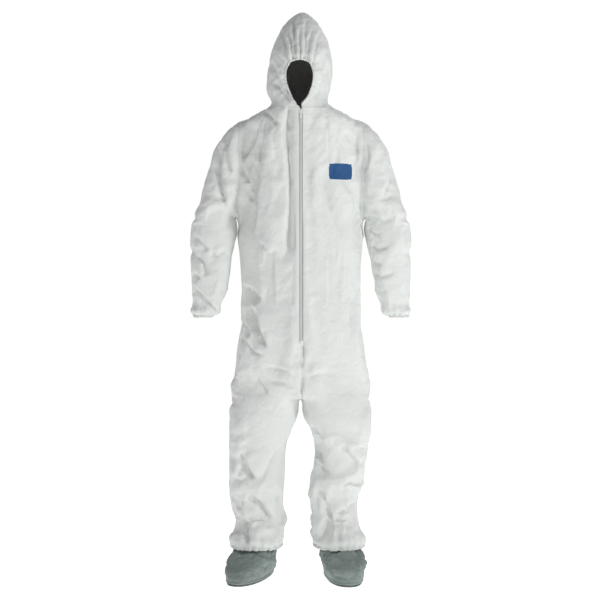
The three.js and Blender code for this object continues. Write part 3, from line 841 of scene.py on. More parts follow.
def gather_push(co):
    """Gathers at the cuffs, the hems and the face opening, which fade away from the elastic."""
    x, y, z = co.T
    push = np.zeros(len(co))
    for s in SIDES:
        for node, edge_z, count, height, reach in (
            (f"wrist_elastic_{s}", CUFF_Z, 15, 0.0030, 0.030),
            (f"hem_section_{s}", HEM_Z, 21, 0.0030, 0.035),
        ):
            low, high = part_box(node)
            middle = (low + high) / 2
            near = np.hypot(x - middle.x, y - middle.y) < 0.13
            angle = np.arctan2(y - middle.y, x - middle.x)
            waves = ripple(angle + SIGN[s], count)
            push += near * height * np.exp(-np.abs(z - edge_z) / reach) * waves
    middle = face_middle()
    angle = np.arctan2(z - middle.z, x - middle.x)
    radius = np.array([face_radius(a) for a in angle])
    away = np.hypot(x - middle.x, z - middle.z) - radius
    front = (y < AXIS_Y) & (z > NECK_Z)
    push += front * 0.0022 * np.exp(-np.abs(away) / 0.022) * ripple(angle, 23)
    return push


def blouse_push(co):
    """The cloth hangs out over the elastic at the cuffs and the hems."""
    z = co[:, 2]
    arm = arm_mask(co)
    push = np.where(arm, 0.011 * np.exp(-(((z - CUFF_Z - 0.018) / 0.013) ** 2)), 0)
    return push + np.where(arm, 0, 0.007 * np.exp(-(((z - HEM_Z - 0.020) / 0.018) ** 2)))


def small_creases(co, no):
    """Small sharp creases, deepest on the lower legs and the sleeves and weak on the left chest."""
    x, _, z = co.T
    upright = (1, 1, 1.7)
    rough = np.interp(z, (0.1, 0.45, 0.7, 1.2, 1.5, 1.8), (1.3, 1.1, 0.7, 0.6, 0.6, 0.6))
    rough *= np.where(arm_mask(co), 1.25, 1) * np.where((x > 0.02) & (x < 0.19) & (no[:, 1] < 0), 0.7, 1)
    large, small = crumple(co, 1, 0.085, upright) - 0.4, crumple(co, 2, 0.036, upright) - 0.4
    return rough * (0.0030 * large + 0.0014 * small)


def armhole_dip(co):
    """How far the cloth is drawn in along the armhole seams."""
    x, _, z = co.T
    dip = np.exp(-np.abs(np.abs(x) - ARM_SPLIT_X) / 0.008) * smoothstep(z, ARMPIT_Z - 0.04, ARMPIT_Z)
    dip *= 1 + smoothstep(-z, -1.34, -1.20)
    return 0.004 * dip * smoothstep(-z, -1.50, -1.44)


def refine(obj):
    """Subdivides the creased shell, and gives it its folds, its gathers and its small creases."""
    subdivide(obj)
    co, no = coords(obj), normals(obj)
    x, y, z = co.T
    push = small_creases(co, no) + fold_push(co, no) + gather_push(co) + blouse_push(co) - armhole_dip(co)
    placket = smoothstep(-np.abs(x), -0.042, -0.008) * (y < FRONT_Y + 0.04) * smoothstep(z, 0.76, 0.80)
    placket *= z < FACE_LOW.z + 0.03
    push *= 1 - placket
    co += no * push[:, None]
    co[:, 1] += placket * (FRONT_Y + 0.0015 - co[:, 1])
    close_flap(co)
    unfolded = np.empty(len(obj.data.polygons) * 3)
    obj.data.polygons.foreach_get("normal", unfolded)
    set_coords(obj, co)
    untangle(obj, unfolded.reshape(-1, 3))
    shade_smooth(obj)


def untangle(obj, unfolded):
    """Relaxes the spots where a deep fold has turned the surface over itself."""
    before = [Vector(n) for n in unfolded]
    with edited(obj) as bm:
        for _ in range(4):
            bm.normal_update()
            over = {v for f in bm.faces if f.normal.dot(before[f.index]) < 0.05 for v in f.verts}
            near = over | {e.other_vert(v) for v in over for e in v.link_edges}
            relax(bm, [v for v in bm.verts if v in near and not v.is_boundary], 5)


def close_flap(co):
    """Brings the front edges together at the throat, and sets the flap's edges beside the teeth below."""
    x, y, z = co.T
    near = (y < FRONT_Y + 0.03) & (z > ZIP_LOW.z - 0.01) & (z < FACE_LOW.z + 0.02)
    reach = smoothstep(-np.abs(x), -0.030, -ZIP_HALF)
    below = smoothstep(-z, -1.22, -1.13)
    throat = smoothstep(z, ZIP_HIGH.z + 0.002, ZIP_HIGH.z + 0.012)
    shift = (0.0009 - 0.0020 * below * (x > 0)) * (1 - throat) + 0.0052 * throat
    co[:, 0] -= near * reach * np.sign(x) * shift
    co[:, 1] += near * 0.0018 * below * (1 - throat) * smoothstep(-np.abs(x), -0.013, -0.005)


# Runs of edges: seams and hems


def chains(pairs):
    """Ordered runs of the vertices that pairs join. A closed run ends with its first vertex."""
    neighbours = {}
    for a, b in pairs:
        neighbours.setdefault(a, []).append(b)
        neighbours.setdefault(b, []).append(a)
    used, runs = set(), []
    starts = [v for v in neighbours if len(neighbours[v]) != 2] + list(neighbours)
    for start in starts:
        for first in neighbours[start]:
            if frozenset((start, first)) in used:
                continue
            run = [start, first]
            used.add(frozenset(run))
            while len(neighbours[run[-1]]) == 2 and run[-1] != start:
                ahead = next(v for v in neighbours[run[-1]] if v != run[-2])
                used.add(frozenset((run[-1], ahead)))
                run.append(ahead)
            runs.append(run)
    return runs


def resample(points, normals_there, spacing):
    """Even steps along a run, a little smoothed. Returns points and normals."""
    points, normals_there = np.array(points), np.array(normals_there)
    for _ in range(2):
        points[1:-1] = (points[:-2] + 2 * points[1:-1] + points[2:]) / 4
    steps = np.linalg.norm(np.diff(points, axis=0), axis=1)
    total = np.concatenate([[0], np.cumsum(steps)])
    grid = np.linspace(0, total[-1], max(int(total[-1] / spacing), 2) + 1)
    even = np.stack([np.interp(grid, total, points[:, i]) for i in range(3)], 1)
    across = np.stack([np.interp(grid, total, normals_there[:, i]) for i in range(3)], 1)
    return even, across / np.linalg.norm(across, axis=1)[:, None]


def strip(points, normals_there, section, wave=0.0, every=2, closed=False):
    """Sweeps a section of (across, up) pairs along a run. wave lifts every so many rings, like stitches."""
    tangents = np.gradient(points, axis=0)
    if closed:
        tangents[0] = tangents[-1] = points[1] - points[-2]
    tangents /= np.linalg.norm(tangents, axis=1)[:, None]
    side = np.cross(tangents, normals_there)
    side /= np.linalg.norm(side, axis=1)[:, None]
    rows = []
    for i, (point, up, out) in enumerate(zip(points, normals_there, side)):
        lift = 1 + wave * (1 if i % every == 0 else -1)
        rows += [point + across * out + height * (lift if height > 0 else 1) * up
                 for across, height in section]
    n = len(section)
    faces = [(i * n + k, (i + 1) * n + k, (i + 1) * n + k + 1, i * n + k + 1)
             for i in range(len(points) - 1) for k in range(n - 1)]
    return rows, faces


SEAM_SECTION = ((-0.0030, -0.0004), (-0.0020, 0.0007), (-0.0008, 0.0009), (0, 0.0004), (0.0008, 0.0009),
                (0.0020, 0.0007), (0.0030, -0.0004))


def seam_strips(shell):
    """The sewn seams, as stitched strips on the shell: a list of (piece number, vertices, faces)."""
    bm = bmesh.new()
    bm.from_mesh(shell.data)
    groups = {}
    for e in bm.edges:
        if e.seam and e.link_faces:
            number = min(f.material_index for f in e.link_faces)
            groups.setdefault(number, []).append((e.verts[0].index, e.verts[1].index))
    bm.free()
    co, no = coords(shell), normals(shell)
    strips = []
    for number, pairs in sorted(groups.items()):
        for run in chains(pairs):
            if len(run) > 4:
                points, across = resample(co[run], no[run], 0.0022)
                strips.append((number, *strip(points, across, SEAM_SECTION, wave=0.25)))
    return strips


def edge_runs(shell):
    """The shell's open edges: a dict of the face opening, the cuffs and the hems, as runs of vertices."""
    bm = bmesh.new()
    bm.from_mesh(shell.data)
    pairs = [(e.verts[0].index, e.verts[1].index) for e in bm.edges if e.is_boundary]
    bm.free()
    co = coords(shell)
    runs = {}
    for run in chains(pairs):
        middle = co[run].mean(0)
        side = "left" if middle[0] > 0 else "right"
        if len(run) < 30:
            continue
        if middle[2] < 0.3:
            runs[f"hem_{side}"] = run
        elif abs(middle[0]) > 0.2:
            runs[f"cuff_{side}"] = run
        else:
            runs["face"] = face_run(co, run)
    return runs


def face_run(co, run):
    """The part of the front opening's edge that goes round the face."""
    ring = run[:-1]
    lowest = min(range(len(ring)), key=lambda i: co[ring[i]][2])
    ring = ring[lowest:] + ring[:lowest]
    above = [v for v in ring if co[v][2] > FACE_LOW.z + 0.003]
    return above


# Pieces


def new_piece(name, verts, faces, vertex_normals=None):
    """A smooth object, shaded by the given normals where there are any."""
    mesh = bpy.data.meshes.new(name)
    mesh.from_pydata([tuple(v) for v in verts], [], [tuple(int(i) for i in f) for f in faces])
    obj = bpy.data.objects.new(name, mesh)
    bpy.context.scene.collection.objects.link(obj)
    shade_smooth(obj)
    if vertex_normals is not None:
        mesh.normals_split_custom_set_from_vertices([tuple(n) for n in vertex_normals])
    return obj


def shell_part(shell_data, numbers):
    """The vertices, faces and normals of the shell's faces that carry these piece numbers."""
    co, no, starts, totals, corners, labels = shell_data
    picked = [corners[s:s + t] for s, t, label in zip(starts, totals, labels) if label in numbers]
    used = np.unique(np.concatenate(picked))
    renumber = np.full(len(co), -1)
    renumber[used] = np.arange(len(used))
    return co[used], [renumber[p] for p in picked], no[used]


def read_shell(shell):
    """The shell's points, normals and faces, with each face's piece number, as arrays."""
    mesh = shell.data
    starts, totals = np.empty(len(mesh.polygons), int), np.empty(len(mesh.polygons), int)
    labels, corners = np.empty(len(mesh.polygons), int), np.empty(len(mesh.loops), int)
    mesh.polygons.foreach_get("loop_start", starts)
    mesh.polygons.foreach_get("loop_total", totals)
    mesh.polygons.foreach_get("material_index", labels)
    mesh.loops.foreach_get("vertex_index", corners)
    return coords(shell), normals(shell), starts, totals, corners, labels


def sewn_piece(name, shell_data, strips, numbers):
    """One piece of the shell with the seam strips that lie on it."""
    co, faces, no = shell_part(shell_data, numbers)
    all_co, all_faces, all_no = [co], list(faces), [no]
    first_seam_face, total = len(faces), len(co)
    for number, verts, quads in strips:
        if number in numbers:
            verts = np.array(verts)
            probe = new_object("probe", verts, quads)
            all_no.append(normals(probe))
            bpy.data.objects.remove(probe)
            all_co.append(verts)
            all_faces += [tuple(i + total for i in quad) for quad in quads]
            total += len(verts)
    obj = new_piece(name, np.concatenate(all_co), all_faces, np.concatenate(all_no))
    obj.data.materials.append(LOOKS["white_nonwoven"])
    obj.data.materials.append(LOOKS["seam_thread"])
    indices = [0 if i < first_seam_face else 1 for i in range(len(all_faces))]
    obj.data.polygons.foreach_set("material_index", indices)
    return obj


def bends(name, sign):
    """How each piece turns from one body to the next: (body, body, start, end), or only (body,)."""
    shoulder = HINGE[f"shoulder_{name}"]
    across = Vector((0.85 * sign, 0, -0.53))
    hip = Vector((0, AXIS_Y, CROTCH_Z))
    down = Vector((0.45 * sign, 0, -0.893))

    def upright(first, second, start, end):
        return f"{first}_{name}", f"{second}_{name}", (0, AXIS_Y, start), (0, AXIS_Y, end)

    return {
        "front_panel": ("torso",),
        "back_panel": ("torso",),
        "hood": ("torso", "hood", (0, AXIS_Y, NECK_Z + 0.010), (0, AXIS_Y, NECK_Z + 0.145)),
        "sleeve_upper": ("torso", f"upper_arm_{name}", shoulder + 0.150 * across, shoulder + 0.245 * across),
        "sleeve_lower": upright("upper_arm", "forearm", ELBOW_Z, FOREARM_Z),
        "leg_upper": ("torso", f"thigh_{name}", hip, hip + 0.11 * down),
        "leg_lower": upright("thigh", "shin", KNEE_Z - 0.004, CALF_Z + 0.004),
        "leg_hem": upright("shin", "foot", SHIN_Z - 0.005, HEM_Z + 0.015),
    }


# The CAD nodes that each piece stands for, without their side.
STANDS_FOR = {
    "front_panel": ("front_panel",),
    "back_panel": ("back_panel",),
    "hood": ("hood", "hood_neck"),
    "sleeve_upper": ("sleeve_cap", "sleeve_upper"),
    "sleeve_lower": ("elbow_section", "sleeve_lower"),
    "leg_upper": ("hip_section", "thigh_front", "thigh_back"),
    "leg_lower": ("knee_section", "calf_front", "calf_back"),
    "leg_hem": ("hem_section",),
}


def attach(obj, bend, slot, *nodes):
    """Makes a piece with one body follow it, bakes in place a piece that lies between two bodies, and hides the
    CAD nodes that it stands for.
    """
    if len(bend) == 1:
        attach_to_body(obj, bend[0])
    else:
        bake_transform(obj)
    if nodes:
        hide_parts(*nodes)


def smooth_inside(co, faces):
    """The hood's surface without its folds and moved inwards, away from the edge of the face opening."""
    inside = new_object("inside", co, faces)
    middle = face_middle()
    angle = np.arctan2(co[:, 2] - middle.z, co[:, 0] - middle.x)
    radius = np.array([face_radius(a) for a in angle])
    away = np.hypot(co[:, 0] - middle.x, co[:, 2] - middle.z) - radius
    depth = np.where(co[:, 1] < AXIS_Y, 0.003 + 0.013 * smoothstep(away, 0.0, 0.035), 0.016)
    with edited(inside) as bm:
        relax(bm, [v for v in bm.verts if not v.is_boundary], 30)
    result = coords(inside) - depth[:, None] * normals(inside)
    bpy.data.objects.remove(inside)
    return result


def make_shell_pieces(shell):
    """The fabric pieces, and a dark grey sheet inside the hood that paints the shade of its inside."""
    data, strips = read_shell(shell), seam_strips(shell)
    for index, stem in enumerate(STEMS):
        for s in SIDES:
            number = 2 * index + (0 if s == "left" else 1)
            obj = sewn_piece(f"{stem}_cloth_{s}", data, strips, {number})
            nodes = [f"{node}_{s}" for node in STANDS_FOR[stem]]
            if (stem, s) == ("leg_upper", "left"):
                nodes.append("crotch_gusset")
            attach(obj, bends(s, SIGN[s])[stem], "white_nonwoven", *nodes)
    # Painted shade: a dark grey sheet a little inside the hood stands for the shade of its inside, which is white
    # fabric on the real suit.
    hood_numbers = {2 * STEMS.index("hood"), 2 * STEMS.index("hood") + 1}
    co, faces, _ = shell_part(data, hood_numbers)
    shade_layer = new_piece("hood_painted_shade_sheet", smooth_inside(co, faces), [tuple(reversed(f)) for f in faces])
    shade_layer.data.materials.append(LOOKS["hood_shade"])
    attach(shade_layer, bends("left", 1)["hood"], "white_nonwoven")


def make_casings(shell):
    """The casings of the elastic round the face, the wrists and the boot tops, with their gathers."""
    co, no = coords(shell), normals(shell)
    for name, run in edge_runs(shell).items():
        kind, _, side = name.partition("_")
        closed = kind != "face"
        radius, count = {"face": (0.0032, 34), "cuff": (0.0050, 26), "hem": (0.0050, 36)}[kind]
        points, across = resample(co[run], no[run], 0.003)
        section = [(radius * math.cos(a), 0.8 * radius * math.sin(a))
                   for a in np.linspace(math.pi, -math.pi, 11)]
        verts, faces = strip(points, across, section, closed=closed)
        verts = np.array(verts).reshape(len(points), len(section), 3)
        swell = 1 + 0.22 * ripple(2 * math.pi * np.arange(len(points)) / len(points), count)
        verts = points[:, None] + (verts - points[:, None]) * swell[:, None, None]
        obj = new_piece(f"{kind}_casing_{side}".rstrip("_"), verts.reshape(-1, 3), faces)
        obj.data.materials.append(LOOKS["white_elastic"])
        if kind == "face":
            attach(obj, bends("left", 1)["hood"], "white_elastic", "face_elastic")
        elif kind == "cuff":
            attach(obj, (f"forearm_{side}",), "white_elastic", f"wrist_elastic_{side}")
        else:
            attach(obj, (f"foot_{side}",), "white_elastic", f"boot_elastic_{side}")


def make_label(shell):
    """The plain printed label on the chest, which follows the cloth, with a white border."""
    low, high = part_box("chest_label")
    middle = (low + high) / 2
    half_x, half_z = (high.x - low.x) / 2, (high.z - low.z) / 2
    skin = [tuple(p.vertices) for p in shell.data.polygons]
    tree = BVHTree.FromPolygons([tuple(v) for v in coords(shell)], skin)
    rings, spokes, corner = 14, 72, 5.0
    verts, faces = [], []
    for i in range(rings + 1):
        share = i / rings
        for k in range(spokes):
            a = 2 * math.pi * k / spokes
            c, s = math.cos(a), math.sin(a)
            radius = share * (abs(c) ** corner + abs(s) ** corner) ** (-1 / corner)
            x, z = middle.x + radius * c * half_x, middle.z + radius * s * half_z
            hit = tree.ray_cast(Vector((x, FRONT_Y - 0.1, z)), Vector((0, 1, 0)))[0]
            lift = 0.0012 if i < rings else -0.0004
            verts.append((x, hit.y - lift, z))
    for i in range(rings):
        for k in range(spokes):
            n = (k + 1) % spokes
            faces.append((i * spokes + k, (i + 1) * spokes + k, (i + 1) * spokes + n, i * spokes + n))
    obj = new_piece("chest_label_print", verts, faces)
    with edited(obj) as bm:
        bmesh.ops.remove_doubles(bm, verts=bm.verts, dist=1e-6)
    obj.data.materials.append(LOOKS["blue_label"])
    obj.data.materials.append(LOOKS["label_border"])
    reach = np.array([max(abs(p.center.x - middle.x) / half_x, abs(p.center.z - middle.z) / half_z)
                      for p in obj.data.polygons])
    obj.data.polygons.foreach_set("material_index", (reach > 0.90).astype(np.int32))
    attach(obj, ("torso",), "blue_label", "chest_label")


def make_zip_tapes():
    """The woven tapes that carry the teeth: a thin strip with a rolled outer edge and ribs, in a grey that paints
    the shade of the gap beside the teeth.
    """
    for s in SIDES:
        low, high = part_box(f"zip_tape_{s}")
        columns, rows = 9, round((high.z - low.z) / 0.004)
        verts, faces = [], []
        for i in range(rows + 1):
            z = low.z + (high.z - low.z) * i / rows
            for k in range(2 * columns):
                share = (k if k < columns else 2 * columns - 1 - k) / (columns - 1)
                x = low.x + (high.x - low.x) * share
                rib = 0.00015 * math.cos(share * 6 * math.pi)
                y = low.y + 0.0002 + rib if k < columns else high.y
                verts.append((x, y, z))
        ring = 2 * columns
        for i in range(rows):
            for k in range(ring):
                n = (k + 1) % ring
                faces.append((i * ring + k, i * ring + n, (i + 1) * ring + n, (i + 1) * ring + k))
        faces += [tuple(reversed(range(ring))), tuple(range(rows * ring, (rows + 1) * ring))]
        obj = new_piece(f"zip_tape_painted_shade_{s}", verts, faces)
        obj.data.materials.append(LOOKS["zip_tape"])
        attach(obj, ("torso",), "zip_tape", f"zip_tape_{s}")


def hull_ring(node, z, count):
    """An even ring of points round the outside of a CAD node at one height."""
    co = coords(frame["nodes"][node])
    edges = np.array([e.vertices for e in frame["nodes"][node].data.edges])
    a, b = co[edges[:, 0]], co[edges[:, 1]]
    crossing = (a[:, 2] - z) * (b[:, 2] - z) < 0
    a, b = a[crossing], b[crossing]
    hit = a + ((z - a[:, 2]) / (b[:, 2] - a[:, 2]))[:, None] * (b - a)
    outside = hit[geometry.convex_hull_2d([(p[0], p[1]) for p in hit])][:, :2]
    middle = (outside.min(0) + outside.max(0)) / 2
    angles = np.arctan2(*(outside - middle).T[::-1])
    order = np.argsort(angles)
    angles, outside = angles[order], outside[order]
    wrapped = np.concatenate([angles - 2 * math.pi, angles, angles + 2 * math.pi])
    grid = np.linspace(-math.pi, math.pi, count, endpoint=False)
    return np.stack([np.interp(grid, wrapped, np.tile(outside[:, i], 3)) for i in (0, 1)], 1)


def make_boots():
    """The boots: a loose grey fabric upper with wrinkles over the instep, and a bound lower edge."""
    count = 96
    for s in SIDES:
        node = f"boot_upper_{s}"
        low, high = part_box(node)
        heights = np.linspace(low.z + 0.0004, high.z - 0.0004, 30)
        rings = np.array([hull_ring(node, z, count) for z in heights])
        for _ in range(3):
            rings[1:-1] = (rings[:-2] + 2 * rings[1:-1] + rings[2:]) / 4
            rings = (np.roll(rings, 1, 1) + 2 * rings + np.roll(rings, -1, 1)) / 4
        verts = [(x, y, z) for ring, z in zip(rings, heights) for x, y in ring]
        faces = []
        for i in range(len(heights) - 1):
            for k in range(count):
                n = (k + 1) % count
                faces.append((i * count + k, i * count + n, (i + 1) * count + n, (i + 1) * count + k))
        boot = new_object(f"boot_cloth_{s}", verts, faces)
        subdivide(boot)
        co, no = coords(boot), normals(boot)
        ends = smoothstep(co[:, 2], low.z, low.z + 0.03) * smoothstep(-co[:, 2], -high.z, -high.z + 0.03)
        push = 0.017 * (crumple(co, 11 + SIGN[s], 0.050, (1.5, 1.2, 1)) - 0.62)
        push += 0.005 * (crumple(co, 21, 0.024) - 0.5)
        instep = np.exp(-((co[:, 1] - low.y - 0.10) / 0.05) ** 2)
        push += 0.0022 * instep * np.sin(co[:, 1] * 2 * math.pi / 0.026 + 2 * np.sin(co[:, 0] * 40))
        set_coords(boot, co + no * (push * ends)[:, None])
        shade_smooth(boot)
        boot.data.materials.append(LOOKS["grey_boot_fabric"])
        edge = np.array([(x, y, heights[1]) for x, y in rings[1]])
        edge = np.concatenate([edge, edge[:1]])
        middle = edge.mean(0)
        across = edge - middle
        across[:, 2] = 0
        across /= np.linalg.norm(across, axis=1)[:, None]
        section = ((-0.0035, 0), (-0.003, 0.0016), (0, 0.002), (0.003, 0.0016), (0.0035, 0))
        points, outward = resample(edge, across, 0.003)
        binding = new_object("binding", *strip(points, outward, section, wave=0.15, closed=True))
        shade_smooth(binding)
        binding.data.materials.append(LOOKS["grey_boot_fabric"])
        join(f"boot_cloth_{s}", [boot, binding])
        attach(boot, (f"foot_{s}",), "grey_boot_fabric", node)


# Materials


def shader_nodes(name, color, roughness, sheen=0.0):
    """A material with its shader, and a tool that adds a node and links named inputs."""
    material = bpy.data.materials.new(name)
    material.use_nodes = True
    tree = material.node_tree
    shader = tree.nodes["Principled BSDF"]
    shader.inputs["Base Color"].default_value = (*color, 1)
    shader.inputs["Roughness"].default_value = roughness
    shader.inputs["Sheen Weight"].default_value = sheen

    def add(kind, values=(), **links):
        node = tree.nodes.new(kind)
        for key, value in dict(values).items():
            if key in node.inputs:
                node.inputs[key].default_value = value
            else:
                setattr(node, key, value)
        for key, output in links.items():
            tree.links.new(output, node.inputs[key.replace("_", " ")])
        return node

    return material, tree, shader, add


def cloth_look(name, color, spread, roughness, crease, fibre, sheen=0.1):
    """Fibrous cloth: colour in soft clouds, fine fibre, and the sharp small creases of a crumpled sheet."""
    material, tree, shader, add = shader_nodes(name, color, roughness, sheen)
    place = add("ShaderNodeTexCoord").outputs["Object"]
    clouds = add("ShaderNodeTexNoise", {"Scale": 14.0, "Detail": 6.0, "Roughness": 0.6}, Vector=place)
    strands = add("ShaderNodeTexNoise", {"Scale": 420.0, "Detail": 3.0, "Distortion": 1.6}, Vector=place)
    both = add("ShaderNodeMath", {"operation": "MULTIPLY"})
    tree.links.new(clouds.outputs["Fac"], both.inputs[0])
    tree.links.new(strands.outputs["Fac"], both.inputs[1])
    ramp = add("ShaderNodeValToRGB", Fac=both.outputs["Value"])
    ramp.color_ramp.elements[0].position, ramp.color_ramp.elements[1].position = 0.12, 0.42
    ramp.color_ramp.elements[0].color = (*[c * (1 - spread) for c in color], 1)
    ramp.color_ramp.elements[1].color = (*[min(c * (1 + spread), 1) for c in color], 1)
    tree.links.new(ramp.outputs["Color"], shader.inputs["Base Color"])
    bend = add("ShaderNodeTexNoise", {"Scale": 9.0, "Detail": 2.0}, Vector=place)
    warped = add("ShaderNodeMixRGB", {"blend_type": "ADD", "Fac": 0.05})
    tree.links.new(place, warped.inputs["Color1"])
    tree.links.new(bend.outputs["Color"], warped.inputs["Color2"])
    height = None
    for scale, depth in ((26.0, crease), (61.0, crease * 0.45)):
        walls = add("ShaderNodeTexVoronoi", {"feature": "DISTANCE_TO_EDGE", "Scale": scale},
                    Vector=warped.outputs["Color"])
        bump = add("ShaderNodeBump", {"Strength": 0.55, "Distance": depth}, Height=walls.outputs["Distance"])
        if height:
            tree.links.new(height, bump.inputs["Normal"])
        height = bump.outputs["Normal"]
    fibres = {"Height": strands.outputs["Fac"], "Normal": height}
    grain = add("ShaderNodeBump", {"Strength": 0.35, "Distance": fibre}, **fibres)
    tree.links.new(grain.outputs["Normal"], shader.inputs["Normal"])
    rough = add("ShaderNodeMapRange", {"To Min": roughness - 0.08, "To Max": roughness + 0.08},
                Value=clouds.outputs["Fac"])
    tree.links.new(rough.outputs["Result"], shader.inputs["Roughness"])
    return material


def woven_look(name, color, roughness, scale, depth, sheen=0.15):
    """Two crossed sets of threads, for tapes, elastic, labels and thread."""
    material, tree, shader, add = shader_nodes(name, color, roughness, sheen)
    place = add("ShaderNodeTexCoord").outputs["Object"]
    height = None
    for direction in ("X", "Z"):
        threads = add("ShaderNodeTexWave", {"bands_direction": direction, "Scale": scale, "Distortion": 0.4},
                      Vector=place)
        bump = add("ShaderNodeBump", {"Strength": 0.5, "Distance": depth}, Height=threads.outputs["Fac"])
        if height:
            tree.links.new(height, bump.inputs["Normal"])
        height = bump.outputs["Normal"]
    tree.links.new(height, shader.inputs["Normal"])
    spots = add("ShaderNodeTexNoise", {"Scale": 160.0, "Detail": 4.0}, Vector=place)
    ramp = add("ShaderNodeValToRGB", Fac=spots.outputs["Fac"])
    ramp.color_ramp.elements[0].position, ramp.color_ramp.elements[1].position = 0.3, 0.7
    ramp.color_ramp.elements[0].color = (*[c * 0.92 for c in color], 1)
    ramp.color_ramp.elements[1].color = (*[min(c * 1.06, 1) for c in color], 1)
    tree.links.new(ramp.outputs["Color"], shader.inputs["Base Color"])
    return material


def moulded_look(name, color, roughness, scale, depth):
    """Moulded plastic or rubber with a fine grain and slightly worn, uneven gloss."""
    material, tree, shader, add = shader_nodes(name, color, roughness)
    place = add("ShaderNodeTexCoord").outputs["Object"]
    grain = add("ShaderNodeTexNoise", {"Scale": scale, "Detail": 4.0}, Vector=place)
    bump = add("ShaderNodeBump", {"Strength": 0.4, "Distance": depth}, Height=grain.outputs["Fac"])
    tree.links.new(bump.outputs["Normal"], shader.inputs["Normal"])
    wear = add("ShaderNodeTexNoise", {"Scale": 30.0, "Detail": 3.0}, Vector=place)
    rough = add("ShaderNodeMapRange", {"To Min": roughness - 0.1, "To Max": roughness + 0.12},
                Value=wear.outputs["Fac"])
    tree.links.new(rough.outputs["Result"], shader.inputs["Roughness"])
    ramp = add("ShaderNodeValToRGB", Fac=wear.outputs["Fac"])
    ramp.color_ramp.elements[0].color = (*[c * 0.9 for c in color], 1)
    ramp.color_ramp.elements[1].color = (*[min(c * 1.08, 1) for c in color], 1)
    tree.links.new(ramp.outputs["Color"], shader.inputs["Base Color"])
    return material


def plain_material(name, color, roughness, glow=0.0):
    """A flat colour for the stage, with a white glow."""
    material, _, shader, _ = shader_nodes(name, color, roughness)
    shader.inputs["Emission Color"].default_value = (1, 1, 1, 1)
    shader.inputs["Emission Strength"].default_value = glow
    return material


# Colours were chosen under the studio's lights.
LOOKS = {
    "white_nonwoven": cloth_look("white_nonwoven_cloth", (0.77, 0.79, 0.765), 0.035, 0.62, 0.005, 0.0004),
    "seam_thread": cloth_look("seam_cloth", (0.72, 0.74, 0.715), 0.05, 0.7, 0.004, 0.0008),
    # Painted shade: the dark grey of the sheet inside the hood stands for the shade there.
    "hood_shade": cloth_look("hood_painted_shade_cloth", (0.40, 0.40, 0.39), 0.15, 0.8, 0.006, 0.0005),
    "white_elastic": woven_look("white_elastic_knit", (0.78, 0.80, 0.775), 0.75, 180.0, 0.0006),
    # Painted shade: the zip tapes are white on the real suit; this grey stands for the shade in the gap beside the
    # teeth.
    "zip_tape": woven_look("zip_tape_painted_shade", (0.58, 0.60, 0.58), 0.75, 260.0, 0.0004),
    "zip_plastic": moulded_look("zip_nylon", (0.80, 0.82, 0.80), 0.42, 500.0, 0.0002),
    "blue_label": woven_look("blue_label_weave", (0.003, 0.075, 0.24), 0.55, 300.0, 0.0002, 0.0),
    "label_border": woven_look("label_border_weave", (0.80, 0.82, 0.82), 0.6, 300.0, 0.0003),
    "white_tag": woven_look("tag_weave", (0.80, 0.80, 0.79), 0.7, 300.0, 0.0003),
    "grey_boot_fabric": cloth_look("grey_boot_cloth", (0.245, 0.295, 0.280), 0.30, 0.72, 0.006, 0.0006),
    "grey_sole": moulded_look("sole_rubber", (0.13, 0.155, 0.15), 0.75, 260.0, 0.0012),
}


def finish_cad_nodes():
    """Gives the CAD nodes that stay in view their own materials."""
    kinds = {"zip_teeth": "zip_plastic", "zip_slider": "zip_plastic", "zip_pull": "zip_plastic",
             "zip_top_stop": "zip_plastic", "zip_bottom_stop": "zip_plastic", "size_tag": "white_tag",
             "boot_sole": "grey_sole"}
    for name, obj in frame["nodes"].items():
        for start, look in kinds.items():
            if name.startswith(start):
                for place in obj.material_slots:
                    place.material = LOOKS[look]


# Camera, light and stage


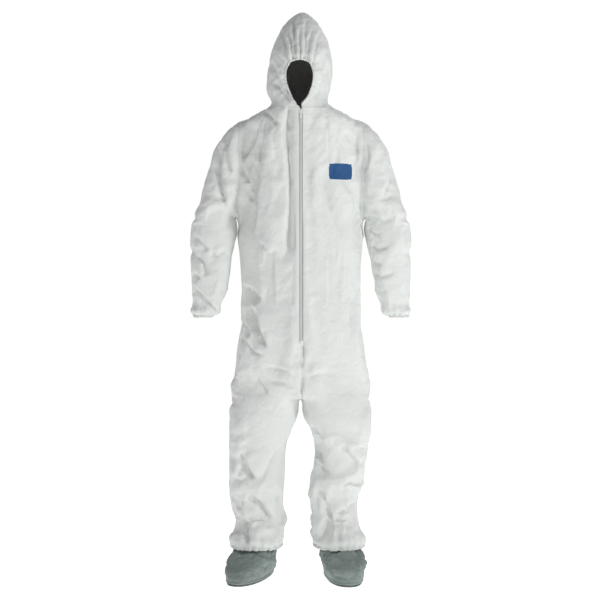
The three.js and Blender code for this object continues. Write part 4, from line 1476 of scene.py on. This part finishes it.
def camera():
    scene = bpy.context.scene
    obj = bpy.data.objects.new("camera", bpy.data.cameras.new("camera"))
    scene.collection.objects.link(obj)
    aim = Vector((-0.003, AXIS_Y, 0.911))
    distance = 5.0
    frame_height = 1.98
    obj.location = aim + Vector((0, -distance, 0.21))
    obj.rotation_euler = (aim - obj.location).to_track_quat("-Z", "Y").to_euler()
    obj.data.sensor_width = 36
    obj.data.lens = obj.data.sensor_width * distance / frame_height
    scene.camera = obj


def studio():
    """A white floor and a white wall all round, a key light from the viewer's right and a weak fill."""
    scene = bpy.context.scene
    for name, place, size, power in [
        ("key", (3.0, -2.3, 2.5), 0.8, 50),
        ("fill", (-2.6, -3.4, 1.2), 2.0, 5),
        ("back", (0.5, 3.0, 2.6), 2.0, 10),
    ]:
        light = bpy.data.objects.new(name, bpy.data.lights.new(name, "AREA"))
        light.data.size = size
        light.data.energy = power
        light.location = place
        light.rotation_euler = (Vector((0, 0, 0.95)) - light.location).to_track_quat("-Z", "Y").to_euler()
        scene.collection.objects.link(light)
    world = bpy.data.worlds.new("surround")
    world.use_nodes = True
    world.node_tree.nodes["Background"].inputs["Color"].default_value = (0.97, 0.985, 1, 1)
    world.node_tree.nodes["Background"].inputs["Strength"].default_value = 0.31
    scene.world = world
    scene.view_settings.view_transform = "Standard"
    reach, height, count = 9.0, 4.0, 96
    ring = [(reach * math.cos(2 * math.pi * k / count), reach * math.sin(2 * math.pi * k / count))
            for k in range(count)]
    floor = new_object("floor", [(x * 1.1, y * 1.1, 0) for x, y in ring], [range(count)])
    floor.data.materials.append(plain_material("floor_paper", (0.9, 0.9, 0.9), 0.9, 0.78))
    verts = [(x, y, 0) for x, y in ring] + [(x, y, height) for x, y in ring]
    faces = [((k + 1) % count, k, k + count, (k + 1) % count + count) for k in range(count)]
    wall = new_object("wall", verts, faces)
    wall.data.materials.append(plain_material("wall_paper", (0.0, 0.0, 0.0), 0.9, 1.0))
    wall.visible_diffuse = wall.visible_glossy = wall.visible_shadow = False


camera()
studio()
shell = build_shell()
open_shell(shell)
drape(shell)
ease_cloth(shell)
refine(shell)
make_shell_pieces(shell)
make_casings(shell)
make_label(shell)
bpy.data.objects.remove(shell)
make_zip_tapes()
make_boots()
finish_cad_nodes()
